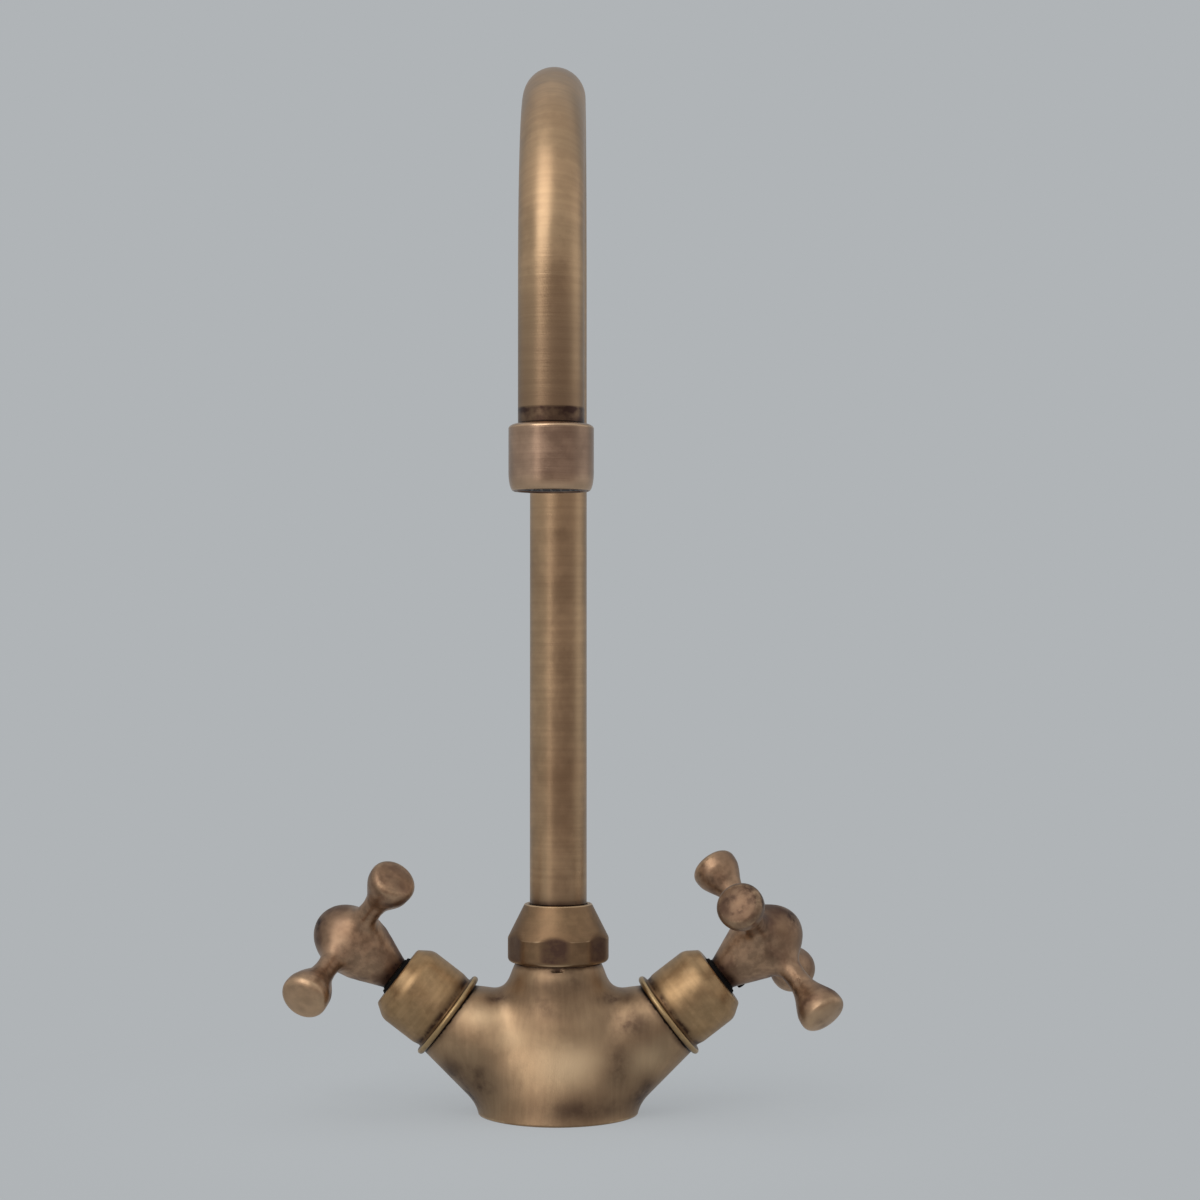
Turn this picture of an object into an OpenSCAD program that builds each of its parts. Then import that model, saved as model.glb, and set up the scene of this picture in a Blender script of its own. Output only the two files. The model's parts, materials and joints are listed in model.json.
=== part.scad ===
// Basin mixer with a swivelling gooseneck spout and two cross handles.
// Millimetres. The origin is the centre of the base face, +Z is up, the spout
// reaches toward -Y, and the hot valve is on the -X side.

/* [Body] */
// Radius of the round base
base_r = 25; // [23:0.5:28]
// Height of the shoulder that the nut stands over
shoulder_z = 47.5; // [46:0.5:50]
// Radius of the neck under the nut
neck_r = 13.6; // [13.4:0.1:14.5]
// Radius of the threaded part of the neck
neck_thread_r = 13; // [12.6:0.1:13.3]
// Length of the threaded part of the neck
neck_thread_len = 10.5; // [9.5:0.5:12]
// Radius of the well that the spout turns in
well_r = 10; // [9.8:0.1:10.4]
// Height of the well's floor
well_floor_z = 28; // [27:0.5:29.5]
// Height of the saddle between the arms
saddle_z = 39.8; // [38.5:0.1:41]
// Half thickness of the saddle web
web_r = 12.4; // [11:0.1:13]
// Radius of the body column at the saddle
column_top_r = 14.5; // [13:0.5:17]

/* [Valve arms] */
// Tilt of the valve axes above the horizontal, degrees
valve_tilt = 37.5; // [36:0.5:39]
// Distance of each arm's end face from the middle plane
arm_x = 34.1; // [33:0.1:37]
// Height of the centre of each arm's end face
arm_z = 30.45; // [29.5:0.05:33]
// Radius of an arm at its end face
arm_r = 13.35; // [12.6:0.05:14]
// Growth of an arm's radius per millimetre toward the column
arm_taper = 0.133; // [0.1:0.005:0.16]
// Radius of the tapped socket in an arm
socket_r = 10.45; // [10.2:0.05:10.8]
// Length of the tapped part of the socket
socket_thread_len = 12.5; // [11:0.5:13]
// Radius of the chamber beyond the thread
chamber_r = 9.6; // [9.5:0.05:9.9]
// Depth of the valve seat below the arm's end face
seat_depth = 24; // [23.5:0.1:24.5]
// Radius of the waterways drilled in the body
waterway_r = 3.5; // [2.5:0.1:4]

/* [Connections under the base] */
// Distance of each inlet from the middle plane
inlet_x = 9.5; // [8.5:0.1:10.5]
// Radius of the tapped inlet holes
inlet_r = 4.5; // [4:0.1:4.8]
// Depth of the inlet thread
inlet_len = 10; // [8:0.5:11]
// Distance of the fixing stud's hole behind the middle
stud_y = 13.5; // [12.5:0.1:14.5]
// Radius of the tapped stud hole
stud_r = 3.4; // [2.5:0.1:3.8]
// Depth of the stud hole
stud_len = 14; // [10:0.5:16]
// Mean radius of the base seal
seal_mid_r = 21; // [20:0.1:21.5]
// Width of the base seal
seal_w = 3; // [2:0.1:3.4]
// Thickness of the base seal
seal_t = 2; // [1.5:0.1:2.5]

/* [Spout] */
// Outer radius of the spout tube
tube_r = 9; // [8.7:0.05:9.05]
// Wall of the spout tube
tube_wall = 1.2; // [1:0.1:1.6]
// Height at which the bend starts
bend_z = 248.2; // [230:0.5:270]
// Bend radius on the tube's centre line
bend_r = 59.5; // [50:0.5:70]
// Depth of the tube inside its foot
foot_socket_len = 14; // [11:0.5:15]
// Wall of the foot below the tube's end
foot_wall = 3.1; // [3:0.1:3.8]
// Radius of the foot's collar
foot_collar_r = 11.2; // [11:0.1:11.6]
// Thickness of the foot's collar
foot_collar_t = 2; // [1.5:0.1:2.3]
// Gap between the foot and the well's floor
foot_lift = 0.4; // [0.3:0.1:0.8]
// Height of the lower O-ring above the foot's end
foot_ring_z = 4; // [3:0.5:5]
// Distance between the two O-rings
foot_ring_pitch = 6; // [5:0.5:7]
// Radius of an O-ring's section
foot_ring_r = 0.85; // [0.7:0.05:1]

/* [Spout nut] */
// Largest radius of the nut
nut_r = 15.95; // [15.6:0.05:16.4]
// Height of the nut
nut_h = 18.3; // [17.5:0.1:19.5]
// Height of the nut's upright band
nut_band_h = 7.6; // [6.5:0.1:8.5]
// Distance of each flat from the nut's axis
nut_flat_r = 15.2; // [15:0.05:15.4]
// Width of the nut's top rim
nut_rim_w = 1.4; // [1:0.1:1.6]
// Rounding of the nut's lower edge
nut_round = 1.5; // [0.8:0.1:1.8]
// Gap between the nut and the body's shoulder
nut_lift = 0.5; // [0.3:0.1:1]
// Turn of the nut about the spout, degrees
nut_turn = -3.3; // [-30:0.1:30]
// Gap between the nut's top rim and the tube
nut_tube_gap = 0.4; // [0.3:0.05:0.5]
// Thickness of the split thrust ring
thrust_t = 1.6; // [1.2:0.1:1.8]
// Gap across the split of the thrust ring
thrust_gap = 2; // [1:0.5:4]

/* [Outlet] */
// Outer radius of the outlet collar
collar_r = 11.55; // [11.4:0.05:12.2]
// Length of the outlet collar
collar_len = 18.2; // [17:0.1:20]
// Height of the collar's lower face
collar_z = 190; // [180:0.5:200]
// Drop of the collar's domed upper edge
collar_top_drop = 1.3; // [0.5:0.1:2]
// How far the collar narrows to its lower edge
collar_low_in = 1.4; // [0.5:0.1:1.6]
// Height over which the collar narrows
collar_low_h = 5; // [2:0.5:7]
// Depth of the tube inside the collar
collar_socket_len = 8.5; // [7:0.5:9]
// Radius of the aerator's tapped cavity
aerator_cavity_r = 9.6; // [9.5:0.05:9.7]
// Depth of the aerator's cavity
aerator_cavity_len = 8; // [7.6:0.1:8.2]
// Recess of the aerator in the collar
aerator_recess = 0.4; // [0.2:0.1:0.6]
// Wall of the aerator insert
aerator_wall = 1.6; // [1.2:0.1:2]
// Pitch of the aerator's straightening grid
grid_pitch = 2.6; // [2:0.1:3.5]
// Thickness of the grid's bars
grid_bar = 0.6; // [0.4:0.1:0.8]
// Height of the grid's bars
grid_h = 3; // [2:0.1:3.5]
// Thickness of the aerator screen
screen_t = 0.8; // [0.6:0.1:1]
// Radius of the screen's holes
screen_hole_r = 0.55; // [0.4:0.05:0.7]
// Thickness of the aerator washer
washer_t = 1; // [0.8:0.1:1.2]

/* [Bonnets] */
// Radius of a bonnet's barrel
bonnet_r = 13.2; // [12.8:0.1:13.6]
// Radius of the bead at a bonnet's foot
bead_r = 14.9; // [14.5:0.1:15.5]
// Thickness of the bead
bead_t = 2; // [1.6:0.1:2.4]
// Height at which the bonnet's shoulder starts
bonnet_barrel_len = 15.3; // [14:0.1:16]
// Length of a bonnet from the start of its shoulder to its end face
bonnet_shoulder_len = 5.8; // [5.4:0.1:6.4]
// Rounding of the bonnet's shoulder
bonnet_shoulder_round = 5; // [3:0.5:6]
// Radius of the bonnet's end face
bonnet_face_r = 9.6; // [8.9:0.1:9.8]
// Rounding of the bonnet's end face
bonnet_face_round = 1.3; // [0.8:0.1:1.6]
// Depth of the groove beside the bead
bead_groove = 0.4; // [0.2:0.05:0.6]
// Inner radius of a bonnet's lower part
bonnet_bore_r = 11.5; // [11.4:0.1:11.7]
// Depth of a bonnet's lower part
bonnet_bore_len = 9; // [8.6:0.1:10]
// Radius of the bonnet's mouth
mouth_r = 7.2; // [7:0.1:7.6]
// Length of the bonnet's mouth
mouth_len = 3.4; // [3:0.1:3.6]
// How far the mouth ring stands proud
mouth_ring_proud = 1.6; // [0.4:0.1:2]

/* [Cartridges] */
// Thickness of the gasket under a cartridge's collar
gasket_t = 0.8; // [0.6:0.1:1]
// Radius of the cartridge's collar
cart_collar_r = 11.2; // [11:0.1:11.3]
// Thickness of the cartridge's collar
cart_collar_t = 1.7; // [1.4:0.1:2]
// Distance across the cartridge's hexagon
cart_hex_w = 19; // [18:0.5:19.5]
// Length of the hexagon
cart_hex_len = 5.5; // [5:0.1:5.8]
// Radius of the thread that carries the bonnet
cart_thread_r = 9.2; // [9:0.1:9.4]
// Length from the arm's face to the cartridge's top
cart_top = 15; // [14.6:0.1:15.2]
// Radius of the cartridge below its thread
cart_skirt_r = 9.3; // [9.1:0.1:9.4]
// Height of the cartridge's end above the seat
cart_lift = 1.4; // [1:0.1:1.6]
// Radius of the discs' chamber in the cartridge
disc_well_r = 8.2; // [8:0.1:8.3]
// Thickness of a ceramic disc
disc_t = 3; // [2.6:0.1:3.2]
// Opening angle of each disc port, degrees
port_angle = 84; // [60:1:88]
// Inner radius of the disc ports
port_in_r = 2; // [1.5:0.1:2.5]
// Outer radius of the disc ports
port_out_r = 6.2; // [5.5:0.1:6.6]
// Thickness of the seat seal
seat_seal_t = 2.4; // [2:0.1:2.6]
// Bore radius of the seat seal
seat_seal_r = 6.6; // [6.3:0.1:6.8]
// Radius of the spindle in the cartridge
spindle_r = 5; // [4.8:0.05:5.2]
// Thickness of the spindle's driving head
head_t = 4; // [3:0.1:4.4]
// Radius of an O-ring's section on the spindle
spindle_ring_r = 0.6; // [0.5:0.05:0.7]
// Height of the lower spindle O-ring above the arm's face
spindle_ring_u = 1; // [0:0.5:2]
// Distance between the spindle's O-rings
spindle_ring_pitch = 5; // [4:0.5:6]
// Thickness of the spindle clip
clip_t = 0.7; // [0.5:0.05:0.8]
// Outer radius of the spindle clip
clip_r = 6.4; // [6:0.1:6.6]
// Gap across the spindle clip's opening
clip_gap = 5; // [3:0.5:6]
// Depth of the clip's groove in the spindle
clip_groove = 0.8; // [0.5:0.1:1]

/* [Handles] */
// Gap between the mouth ring and the handle
handle_gap = 0.3; // [0.2:0.05:0.6]
// Radius of the handle's neck at the mouth
hub_neck_r = 5.75; // [5.7:0.05:6.4]
// Radius of the hub where its flare ends
hub_r = 9.6; // [9:0.1:10]
// Height above the arm's face at which the flare ends
hub_u = 34.5; // [32:0.5:36]
// Radius of the hub's domed top
dome_r = 8.5; // [8:0.1:9]
// Height of the dome's centre above the arm's face
dome_u = 43.7; // [42:0.1:45]
// Height of the cross arms above the arm's face
cross_u = 40.4; // [39:0.1:42]
// Distance of each arm's rounded end face from the valve axis
knob_end_x = 34.4; // [33:0.1:37]
// Radius of a knob
knob_r = 7.2; // [6.6:0.05:7.6]
// Rounding of a knob's rim
knob_round = 3.4; // [2:0.1:4]
// Height of the knob's slightly domed end face
knob_dome = 1.5; // [0.5:0.1:2]
// Radius of an arm where it leaves the hub
cross_root_r = 5.4; // [4.8:0.1:5.8]
// Radius of an arm at its waist
cross_waist_r = 3.25; // [2.8:0.05:4]
// Distance of the waist from the valve axis
cross_waist_x = 16; // [15:0.1:18]
// Radius of the spindle's shank in the handle
shank_r = 3.9; // [3.5:0.05:4]
// Height of the spindle's end above the arm's face
shank_top = 37; // [34:0.5:39]
// Turn of the hot handle's arms at rest, degrees
hot_turn = -36.4; // [-45:0.1:45]
// Turn of the cold handle's arms at rest, degrees
cold_turn = -32.3; // [-45:0.1:45]
// Radius of the grub screws
grub_r = 1.5; // [1.3:0.1:1.8]
// Distance of a grub screw's end from the valve axis
grub_end = 6.9; // [6.6:0.1:7.4]
// Height of a grub screw above the handle's lower end
grub_u = 2.2; // [2:0.1:4]
// Distance across the grub screw's hexagon socket
grub_key = 1.5; // [1:0.1:1.8]
// Turn of the hot grub screw from the first arm, degrees
hot_grub_lead = 135; // [125:1:145]
// Turn of the cold grub screw from the first arm, degrees
cold_grub_lead = 45; // [35:1:55]

/* [Fits] */
// Running clearance on a radius
run = 0.05; // [0.03:0.01:0.08]
// Clearance between parts screwed or laid together
lay = 0.1; // [0.05:0.01:0.15]

/* [Hidden] */
$fn = 48;
over = 1;
HOT = -1;
COLD = 1;
brass = [0.6, 0.5, 0.34];
bronze = [0.52, 0.4, 0.31];
raw_brass = [0.78, 0.65, 0.36];
rubber = [0.1, 0.1, 0.1];
nylon = [0.85, 0.84, 0.8];
ceramic = [0.95, 0.95, 0.93];
steel = [0.6, 0.6, 0.62];
plastic = [0.3, 0.31, 0.33];
black_steel = [0.14, 0.14, 0.15];

// Heights and depths worked out from the sizes above
neck_top_z = shoulder_z + neck_thread_len;
foot_z = well_floor_z + foot_lift;
foot_collar_z = neck_top_z + lay;
foot_top_z = foot_collar_z + foot_collar_t;
foot_r = well_r - run;
foot_bore_r = foot_r - foot_wall;
tube_foot_z = foot_top_z - foot_socket_len;
thrust_z = foot_top_z + lay;
nut_z = shoulder_z + nut_lift;
nut_lip_z = thrust_z + thrust_t + lay;
reach = 2 * bend_r;
tube_bore_r = tube_r - tube_wall;
tube_end_z = collar_z + collar_len - collar_socket_len;
aerator_roof_z = collar_z + aerator_cavity_len;
insert_r = aerator_cavity_r - lay;
insert_z = collar_z + aerator_recess;
insert_top_z = aerator_roof_z - washer_t;

cart_end_u = cart_lift - seat_depth;
fixed_disc_u = seat_seal_t - seat_depth;
moving_disc_u = fixed_disc_u + disc_t + lay;
head_u = moving_disc_u + disc_t + lay;
disc_roof_u = head_u + head_t + lay;
clip_u = cart_top + lay;
bonnet_len = bonnet_barrel_len + bonnet_shoulder_len;
mouth_u = bonnet_len - mouth_len;
shoulder_step = [bonnet_face_r - bonnet_r + bonnet_shoulder_round,
    bonnet_shoulder_len - bonnet_face_round];
shoulder_turn = atan2(shoulder_step[1], shoulder_step[0])
    - acos((bonnet_shoulder_round - bonnet_face_round) / norm(shoulder_step));
ring_u = max(mouth_u, clip_u + clip_t) + lay;
ring_top_u = bonnet_len + mouth_ring_proud;
handle_u = ring_top_u + handle_gap;
journal_top_u = clip_u + clip_t + over;
clip_groove_r = spindle_r - clip_groove;
grub_place_u = handle_u + grub_u;

// The blended casting: a base cone, two tapered arms, a saddle web and a neck
cone_inset = 1;
cone_slope = (base_r - cone_inset - column_top_r) / saddle_z;
cone_blend = 6;
web_blend = 6;
neck_blend = 6;
saddle_round = 3;
saddle_rise = 0.6;
web_x = 22;
web_drop = 0.8;
web_z = saddle_z - web_r - web_drop;
arm_spare = 3;
neck_spare = 2;
rays_round = 64;
rays_up = 32;
top_angle = 76;
arm_crowding = 22;
neck_crowding = 1.35;
far = 75;

// Smooth lower envelope of two distances
function blend(a, b, k) =
    let (h = max(0, min(1, 0.5 + 0.5 * (b - a) / k)))
    b * (1 - h) + a * h - k * h * (1 - h);

// How far a point lies outside the casting, negative inside
function casting_gap(p) =
    let (
        x = abs(p[0]),
        rho = norm([p[0], p[1]]),
        u = (x - arm_x) * cos(valve_tilt) + (p[2] - arm_z) * sin(valve_tilt),
        v = (p[2] - arm_z) * cos(valve_tilt) - (x - arm_x) * sin(valve_tilt),
        flank = (rho - base_r + cone_inset + cone_slope * p[2]) / norm([1, cone_slope]),
        cone = -blend(-flank, saddle_z - cone_blend - p[2], cone_blend),
        arm = norm([v, p[1]]) - arm_r + arm_taper * u,
        web = norm([max(x - web_x, 0), p[1], p[2] - web_z]) - web_r,
        neck = rho - neck_r,
        spread = blend(blend(cone, arm, cone_blend), web, web_blend),
        saddle = -blend(-spread, saddle_z + saddle_rise - p[2], saddle_round)
    )
    max(blend(saddle, neck, neck_blend), u - arm_spare, p[2] - shoulder_z - neck_spare);

// Distance from the origin to the casting's skin along a direction, by halving
function skin(dir, near = 0, off = far, steps = 18) =
    let (mid = (near + off) / 2)
    steps == 0 ? mid
    : casting_gap(mid * dir) < 0 ? skin(dir, mid, off, steps - 1) : skin(dir, near, mid, steps - 1);

// Direction of one ray: rays crowd round the arms and toward the neck
function ray_turn(i) = let (a = 360 * i / rays_round) a - arm_crowding * sin(2 * a);
function ray_rise(j) = top_angle * (1 - pow(1 - j / rays_up, neck_crowding));
function ray(i, j) =
    [cos(ray_rise(j)) * cos(ray_turn(i)), cos(ray_rise(j)) * sin(ray_turn(i)), sin(ray_rise(j))];

// Points on an arc, from one angle to another
function arc(centre, r, from, to, steps = 8) =
    [for (i = [0:steps]) let (a = from + (to - from) * i / steps)
        [centre[0] + r * cos(a), centre[1] + r * sin(a)]];

// Places its children, built upward, on a valve axis with the arm's face at 0
module at_valve(side) {
    translate([side * arm_x, 0, arm_z])
        rotate([0, side * (90 - valve_tilt), 0])
            children();
}

// A flat ring between two radii
module ring(outer, inner, h) {
    difference() {
        cylinder(r = outer, h = h);
        translate([0, 0, -over]) cylinder(r = inner, h = h + 2 * over);
    }
}

// A ring of round section about the vertical
module o_ring(mid, r) {
    rotate_extrude() translate([mid, 0]) circle(r = r, $fn = 32);
}

// A round rod between two points of the middle plane
module rod(p, q, r) {
    d = q - p;
    translate([p[0], 0, p[1]])
        rotate([0, atan2(d[0], d[1]), 0])
            cylinder(r = r, h = norm(d));
}

// Outer skin of the body before machining
module casting() {
    rings = [for (j = [0:rays_up - 1], i = [0:rays_round - 1])
        j == 0 ? base_r * ray(i, 0) : skin(ray(i, j)) * ray(i, j)];
    apex = len(rings);
    bottom = [for (i = [0:rays_round - 1]) i];
    walls = [for (j = [0:rays_up - 2], i = [0:rays_round - 1])
        let (a = j * rays_round + i, b = j * rays_round + (i + 1) % rays_round)
        each [[a, a + rays_round, b], [b, a + rays_round, b + rays_round]]];
    top = [for (i = [0:rays_round - 1])
        let (a = (rays_up - 1) * rays_round)
        [a + i, apex, a + (i + 1) % rays_round]];
    points = concat(rings, [[0, 0, shoulder_z + neck_spare]]);
    polyhedron(points, concat([bottom], walls, top), convexity = 6);
}

// Waterways of one valve: socket, chamber, seat drilling, inlet and way to the well
module valve_ways(side) {
    seat_reach = (arm_x - inlet_x) / cos(valve_tilt);
    meet_z = arm_z - (arm_x - inlet_x) * tan(valve_tilt);
    at_valve(side) {
        translate([0, 0, -socket_thread_len]) cylinder(r = socket_r, h = socket_thread_len + 2 * arm_spare);
        translate([0, 0, -seat_depth]) cylinder(r = chamber_r, h = seat_depth);
        translate([0, 0, -seat_reach]) cylinder(r = waterway_r, h = seat_reach);
    }
    translate([side * inlet_x, 0, -over]) cylinder(r = inlet_r, h = inlet_len + over);
    translate([side * inlet_x, 0, 0]) cylinder(r = waterway_r, h = meet_z + waterway_r);
    mid_u = seat_depth - chamber_r / 2;
    chamber_mid = [side * (arm_x - mid_u * cos(valve_tilt)), arm_z - mid_u * sin(valve_tilt)];
    rod(chamber_mid, [0, well_floor_z + waterway_r], waterway_r);
}

module body() {
    color(brass)
        difference() {
            union() {
                difference() {
                    casting();
                    translate([-far, -far, shoulder_z]) cube([2 * far, 2 * far, far]);
                }
                translate([0, 0, web_z]) cylinder(r = neck_thread_r, h = neck_top_z - web_z);
            }
            for (side = [HOT, COLD]) {
                at_valve(side) translate([-far / 2, -far / 2, 0]) cube([far, far, far / 2]);
                valve_ways(side);
            }
            translate([0, 0, well_floor_z]) cylinder(r = well_r, h = far);
            translate([0, stud_y, -over]) cylinder(r = stud_r, h = stud_len + over);
            translate([0, 0, -over])
                ring(seal_mid_r + seal_w / 2 + lay, seal_mid_r - seal_w / 2 - lay, seal_t + over);
        }
}

module base_seal() {
    color(rubber) ring(seal_mid_r + seal_w / 2, seal_mid_r - seal_w / 2, seal_t);
}

// The gooseneck's path at one radius, drawn past both ends by a spare length
module gooseneck(r, spare) {
    translate([0, 0, tube_foot_z - spare]) cylinder(r = r, h = bend_z - tube_foot_z + spare);
    translate([0, -reach, tube_end_z - spare]) cylinder(r = r, h = bend_z - tube_end_z + spare);
    translate([0, -bend_r, bend_z])
        rotate([90, 0, 90])
            rotate_extrude(angle = 180)
                translate([bend_r, 0])
                    circle(r = r);
}

module spout_tube() {
    color(brass)
        difference() {
            gooseneck(tube_r, 0);
            gooseneck(tube_bore_r, over);
        }
}

module spout_foot() {
    groove_r = foot_r - 2 * foot_ring_r;
    groove_h = 2 * foot_ring_r + 2 * lay;
    color(raw_brass)
        difference() {
            union() {
                translate([0, 0, foot_z]) cylinder(r = foot_r, h = foot_top_z - foot_z);
                translate([0, 0, foot_collar_z]) cylinder(r = foot_collar_r, h = foot_collar_t);
            }
            translate([0, 0, foot_z - over]) cylinder(r = foot_bore_r, h = foot_top_z);
            translate([0, 0, tube_foot_z - lay]) cylinder(r = tube_r + run, h = far);
            for (k = [0, 1])
                translate([0, 0, foot_z + foot_ring_z + k * foot_ring_pitch - groove_h / 2])
                    ring(well_r + over, groove_r, groove_h);
        }
}

module spout_o_rings() {
    color(rubber)
        for (k = [0, 1])
            translate([0, 0, foot_z + foot_ring_z + k * foot_ring_pitch])
                o_ring(foot_r - foot_ring_r + run / 2, foot_ring_r - run / 2);
}

module thrust_ring() {
    color(nylon)
        translate([0, 0, thrust_z])
            difference() {
                ring(foot_collar_r, tube_r + lay, thrust_t);
                translate([0, -thrust_gap / 2, -over]) cube([far, thrust_gap, thrust_t + 2 * over]);
            }
}

module spout_nut() {
    rim_in = tube_r + nut_tube_gap;
    profile = concat(
        [[neck_thread_r + lay, 0]],
        arc([nut_r - nut_round, nut_round], nut_round, -90, 0),
        [[nut_r, nut_band_h], [rim_in + nut_rim_w, nut_h], [rim_in, nut_h], [rim_in, nut_lip_z - nut_z],
         [foot_collar_r + lay, nut_lip_z - nut_z], [foot_collar_r + lay, foot_collar_z - nut_z],
         [neck_thread_r + lay, foot_collar_z - nut_z]]);
    color(brass)
        translate([0, 0, nut_z])
            rotate([0, 0, nut_turn])
                intersection() {
                    rotate_extrude($fn = 96) polygon(profile);
                    translate([0, 0, -over]) cylinder(r = nut_flat_r / cos(30), h = nut_h + 2 * over, $fn = 6);
                }
}

module outlet_collar() {
    steps = 8;
    low = [for (i = [0:steps]) let (a = 90 * i / steps)
        [collar_r - collar_low_in * (1 - sin(a)), collar_low_h * (1 - cos(a))]];
    top = [for (i = [0:steps]) let (a = 90 * i / steps)
        [tube_r + run + (collar_r - tube_r - run) * cos(a), collar_len - collar_top_drop * (1 - sin(a))]];
    profile = concat(
        [[aerator_cavity_r, 0]],
        low,
        top,
        [[tube_r + run, collar_len - collar_socket_len - lay],
         [tube_bore_r, collar_len - collar_socket_len - lay], [tube_bore_r, aerator_cavity_len],
         [aerator_cavity_r, aerator_cavity_len]]);
    color(bronze)
        translate([0, -reach, collar_z])
            rotate_extrude()
                polygon(profile);
}

module aerator_insert() {
    bore_r = insert_r - aerator_wall;
    half_bars = floor(bore_r / grid_pitch);
    shelf_z = insert_top_z - screen_t;
    color(plastic)
        translate([0, -reach, 0]) {
            difference() {
                translate([0, 0, insert_z]) cylinder(r = insert_r, h = insert_top_z - insert_z);
                translate([0, 0, insert_z - over]) cylinder(r = bore_r, h = far);
                translate([0, 0, shelf_z]) cylinder(r = bore_r + aerator_wall / 2, h = far);
            }
            intersection() {
                translate([0, 0, insert_z]) cylinder(r = bore_r + aerator_wall / 4, h = grid_h);
                union() {
                    for (k = [-half_bars:half_bars], turn = [0, 90])
                        rotate([0, 0, turn])
                            translate([-insert_r, k * grid_pitch - grid_bar / 2, insert_z])
                                cube([2 * insert_r, grid_bar, grid_h]);
                }
            }
        }
}

module aerator_screen() {
    disc_r = insert_r - aerator_wall / 2 - lay;
    pitch = 3 * screen_hole_r;
    color(steel)
        translate([0, -reach, insert_top_z - screen_t])
            difference() {
                cylinder(r = disc_r, h = screen_t - lay);
                for (row = [1:floor((disc_r - pitch) / pitch)], k = [0:6 * row - 1])
                    rotate([0, 0, 60 * k / row])
                        translate([row * pitch, 0, -over])
                            cylinder(r = screen_hole_r, h = screen_t + 2 * over, $fn = 16);
            }
}

module aerator_washer() {
    color(rubber)
        translate([0, -reach, insert_top_z])
            ring(insert_r, tube_bore_r, washer_t);
}

module bonnet(side) {
    profile = concat(
        [[bonnet_bore_r, 0], [bead_r - bead_t / 2, 0]],
        arc([bead_r - bead_t / 2, bead_t / 2], bead_t / 2, -90, 90),
        [[bonnet_r - bead_groove, bead_t], [bonnet_r - bead_groove, bead_t + bead_groove],
         [bonnet_r, bead_t + 2 * bead_groove]],
        arc([bonnet_r - bonnet_shoulder_round, bonnet_barrel_len], bonnet_shoulder_round, 0, shoulder_turn),
        arc([bonnet_face_r, bonnet_len - bonnet_face_round], bonnet_face_round, shoulder_turn, 90),
        [[mouth_r, bonnet_len], [mouth_r, mouth_u], [cart_thread_r + lay, mouth_u],
         [cart_thread_r + lay, bonnet_bore_len], [bonnet_bore_r, bonnet_bore_len]]);
    color(raw_brass)
        at_valve(side)
            rotate_extrude($fn = 72)
                polygon(profile);
}

module mouth_ring(side) {
    color(rubber)
        at_valve(side)
            translate([0, 0, ring_u])
                ring(mouth_r - lay, spindle_r + 2 * run, ring_top_u - ring_u);
}

module gasket(side) {
    color(nylon)
        at_valve(side)
            ring(cart_collar_r, socket_r, gasket_t);
}

module cartridge(side) {
    window_z = moving_disc_u;
    window_h = disc_roof_u - moving_disc_u - head_t / 2;
    hex_u = gasket_t + cart_collar_t;
    color(raw_brass)
        at_valve(side)
            difference() {
                union() {
                    translate([0, 0, cart_end_u]) cylinder(r = cart_skirt_r, h = cart_top - cart_end_u - over);
                    translate([0, 0, -socket_thread_len]) cylinder(r = socket_r - lay, h = socket_thread_len + over);
                    translate([0, 0, gasket_t]) cylinder(r = cart_collar_r, h = cart_collar_t);
                    translate([0, 0, hex_u]) cylinder(r = cart_hex_w / 2 / cos(30), h = cart_hex_len, $fn = 6);
                    translate([0, 0, hex_u]) cylinder(r = cart_thread_r, h = cart_top - hex_u);
                }
                translate([0, 0, cart_end_u - over]) cylinder(r = disc_well_r, h = disc_roof_u - cart_end_u + over);
                cylinder(r = spindle_r + run, h = 4 * far, center = true);
                for (turn = [0, 180])
                    rotate([0, 0, turn])
                        translate([0, -disc_well_r / 2, window_z])
                            cube([far, disc_well_r, window_h]);
            }
}

module seat_seal(side) {
    color(rubber)
        at_valve(side)
            translate([0, 0, -seat_depth])
                ring(disc_well_r - lay, seat_seal_r, seat_seal_t);
}

// A ceramic disc with two ports that span the given angle
module ported_disc(ports_turn) {
    half = port_angle / 2;
    port = concat(arc([0, 0], port_out_r, -half, half), arc([0, 0], port_in_r, half, -half));
    difference() {
        cylinder(r = disc_well_r - lay, h = disc_t);
        for (turn = [0, 180])
            rotate([0, 0, ports_turn + turn])
                translate([0, 0, -over])
                    linear_extrude(disc_t + 2 * over)
                        polygon(port);
    }
}

module fixed_disc(side) {
    color(ceramic)
        at_valve(side)
            translate([0, 0, fixed_disc_u])
                ported_disc(90);
}

// At rest the upper disc's ports stand a quarter turn from the lower disc's
module moving_disc(side) {
    color(ceramic)
        at_valve(side)
            translate([0, 0, moving_disc_u])
                ported_disc(0);
}

module spindle(side) {
    groove_h = 2 * spindle_ring_r + 2 * lay;
    color(raw_brass)
        at_valve(side)
            difference() {
                union() {
                    translate([0, 0, head_u]) cylinder(r = disc_well_r - lay, h = head_t);
                    translate([0, 0, head_u]) cylinder(r = spindle_r, h = journal_top_u - head_u);
                    translate([0, 0, head_u]) cylinder(r = shank_r, h = shank_top - head_u);
                }
                for (k = [0, 1])
                    translate([0, 0, spindle_ring_u + k * spindle_ring_pitch - groove_h / 2])
                        ring(spindle_r + over, spindle_r - 2 * spindle_ring_r, groove_h);
                translate([0, 0, clip_u]) ring(spindle_r + over, clip_groove_r, clip_t + lay);
            }
}

module spindle_rings(side) {
    color(rubber)
        at_valve(side)
            for (k = [0, 1])
                translate([0, 0, spindle_ring_u + k * spindle_ring_pitch])
                    o_ring(spindle_r - spindle_ring_r + run / 2, spindle_ring_r - run / 2);
}

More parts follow.
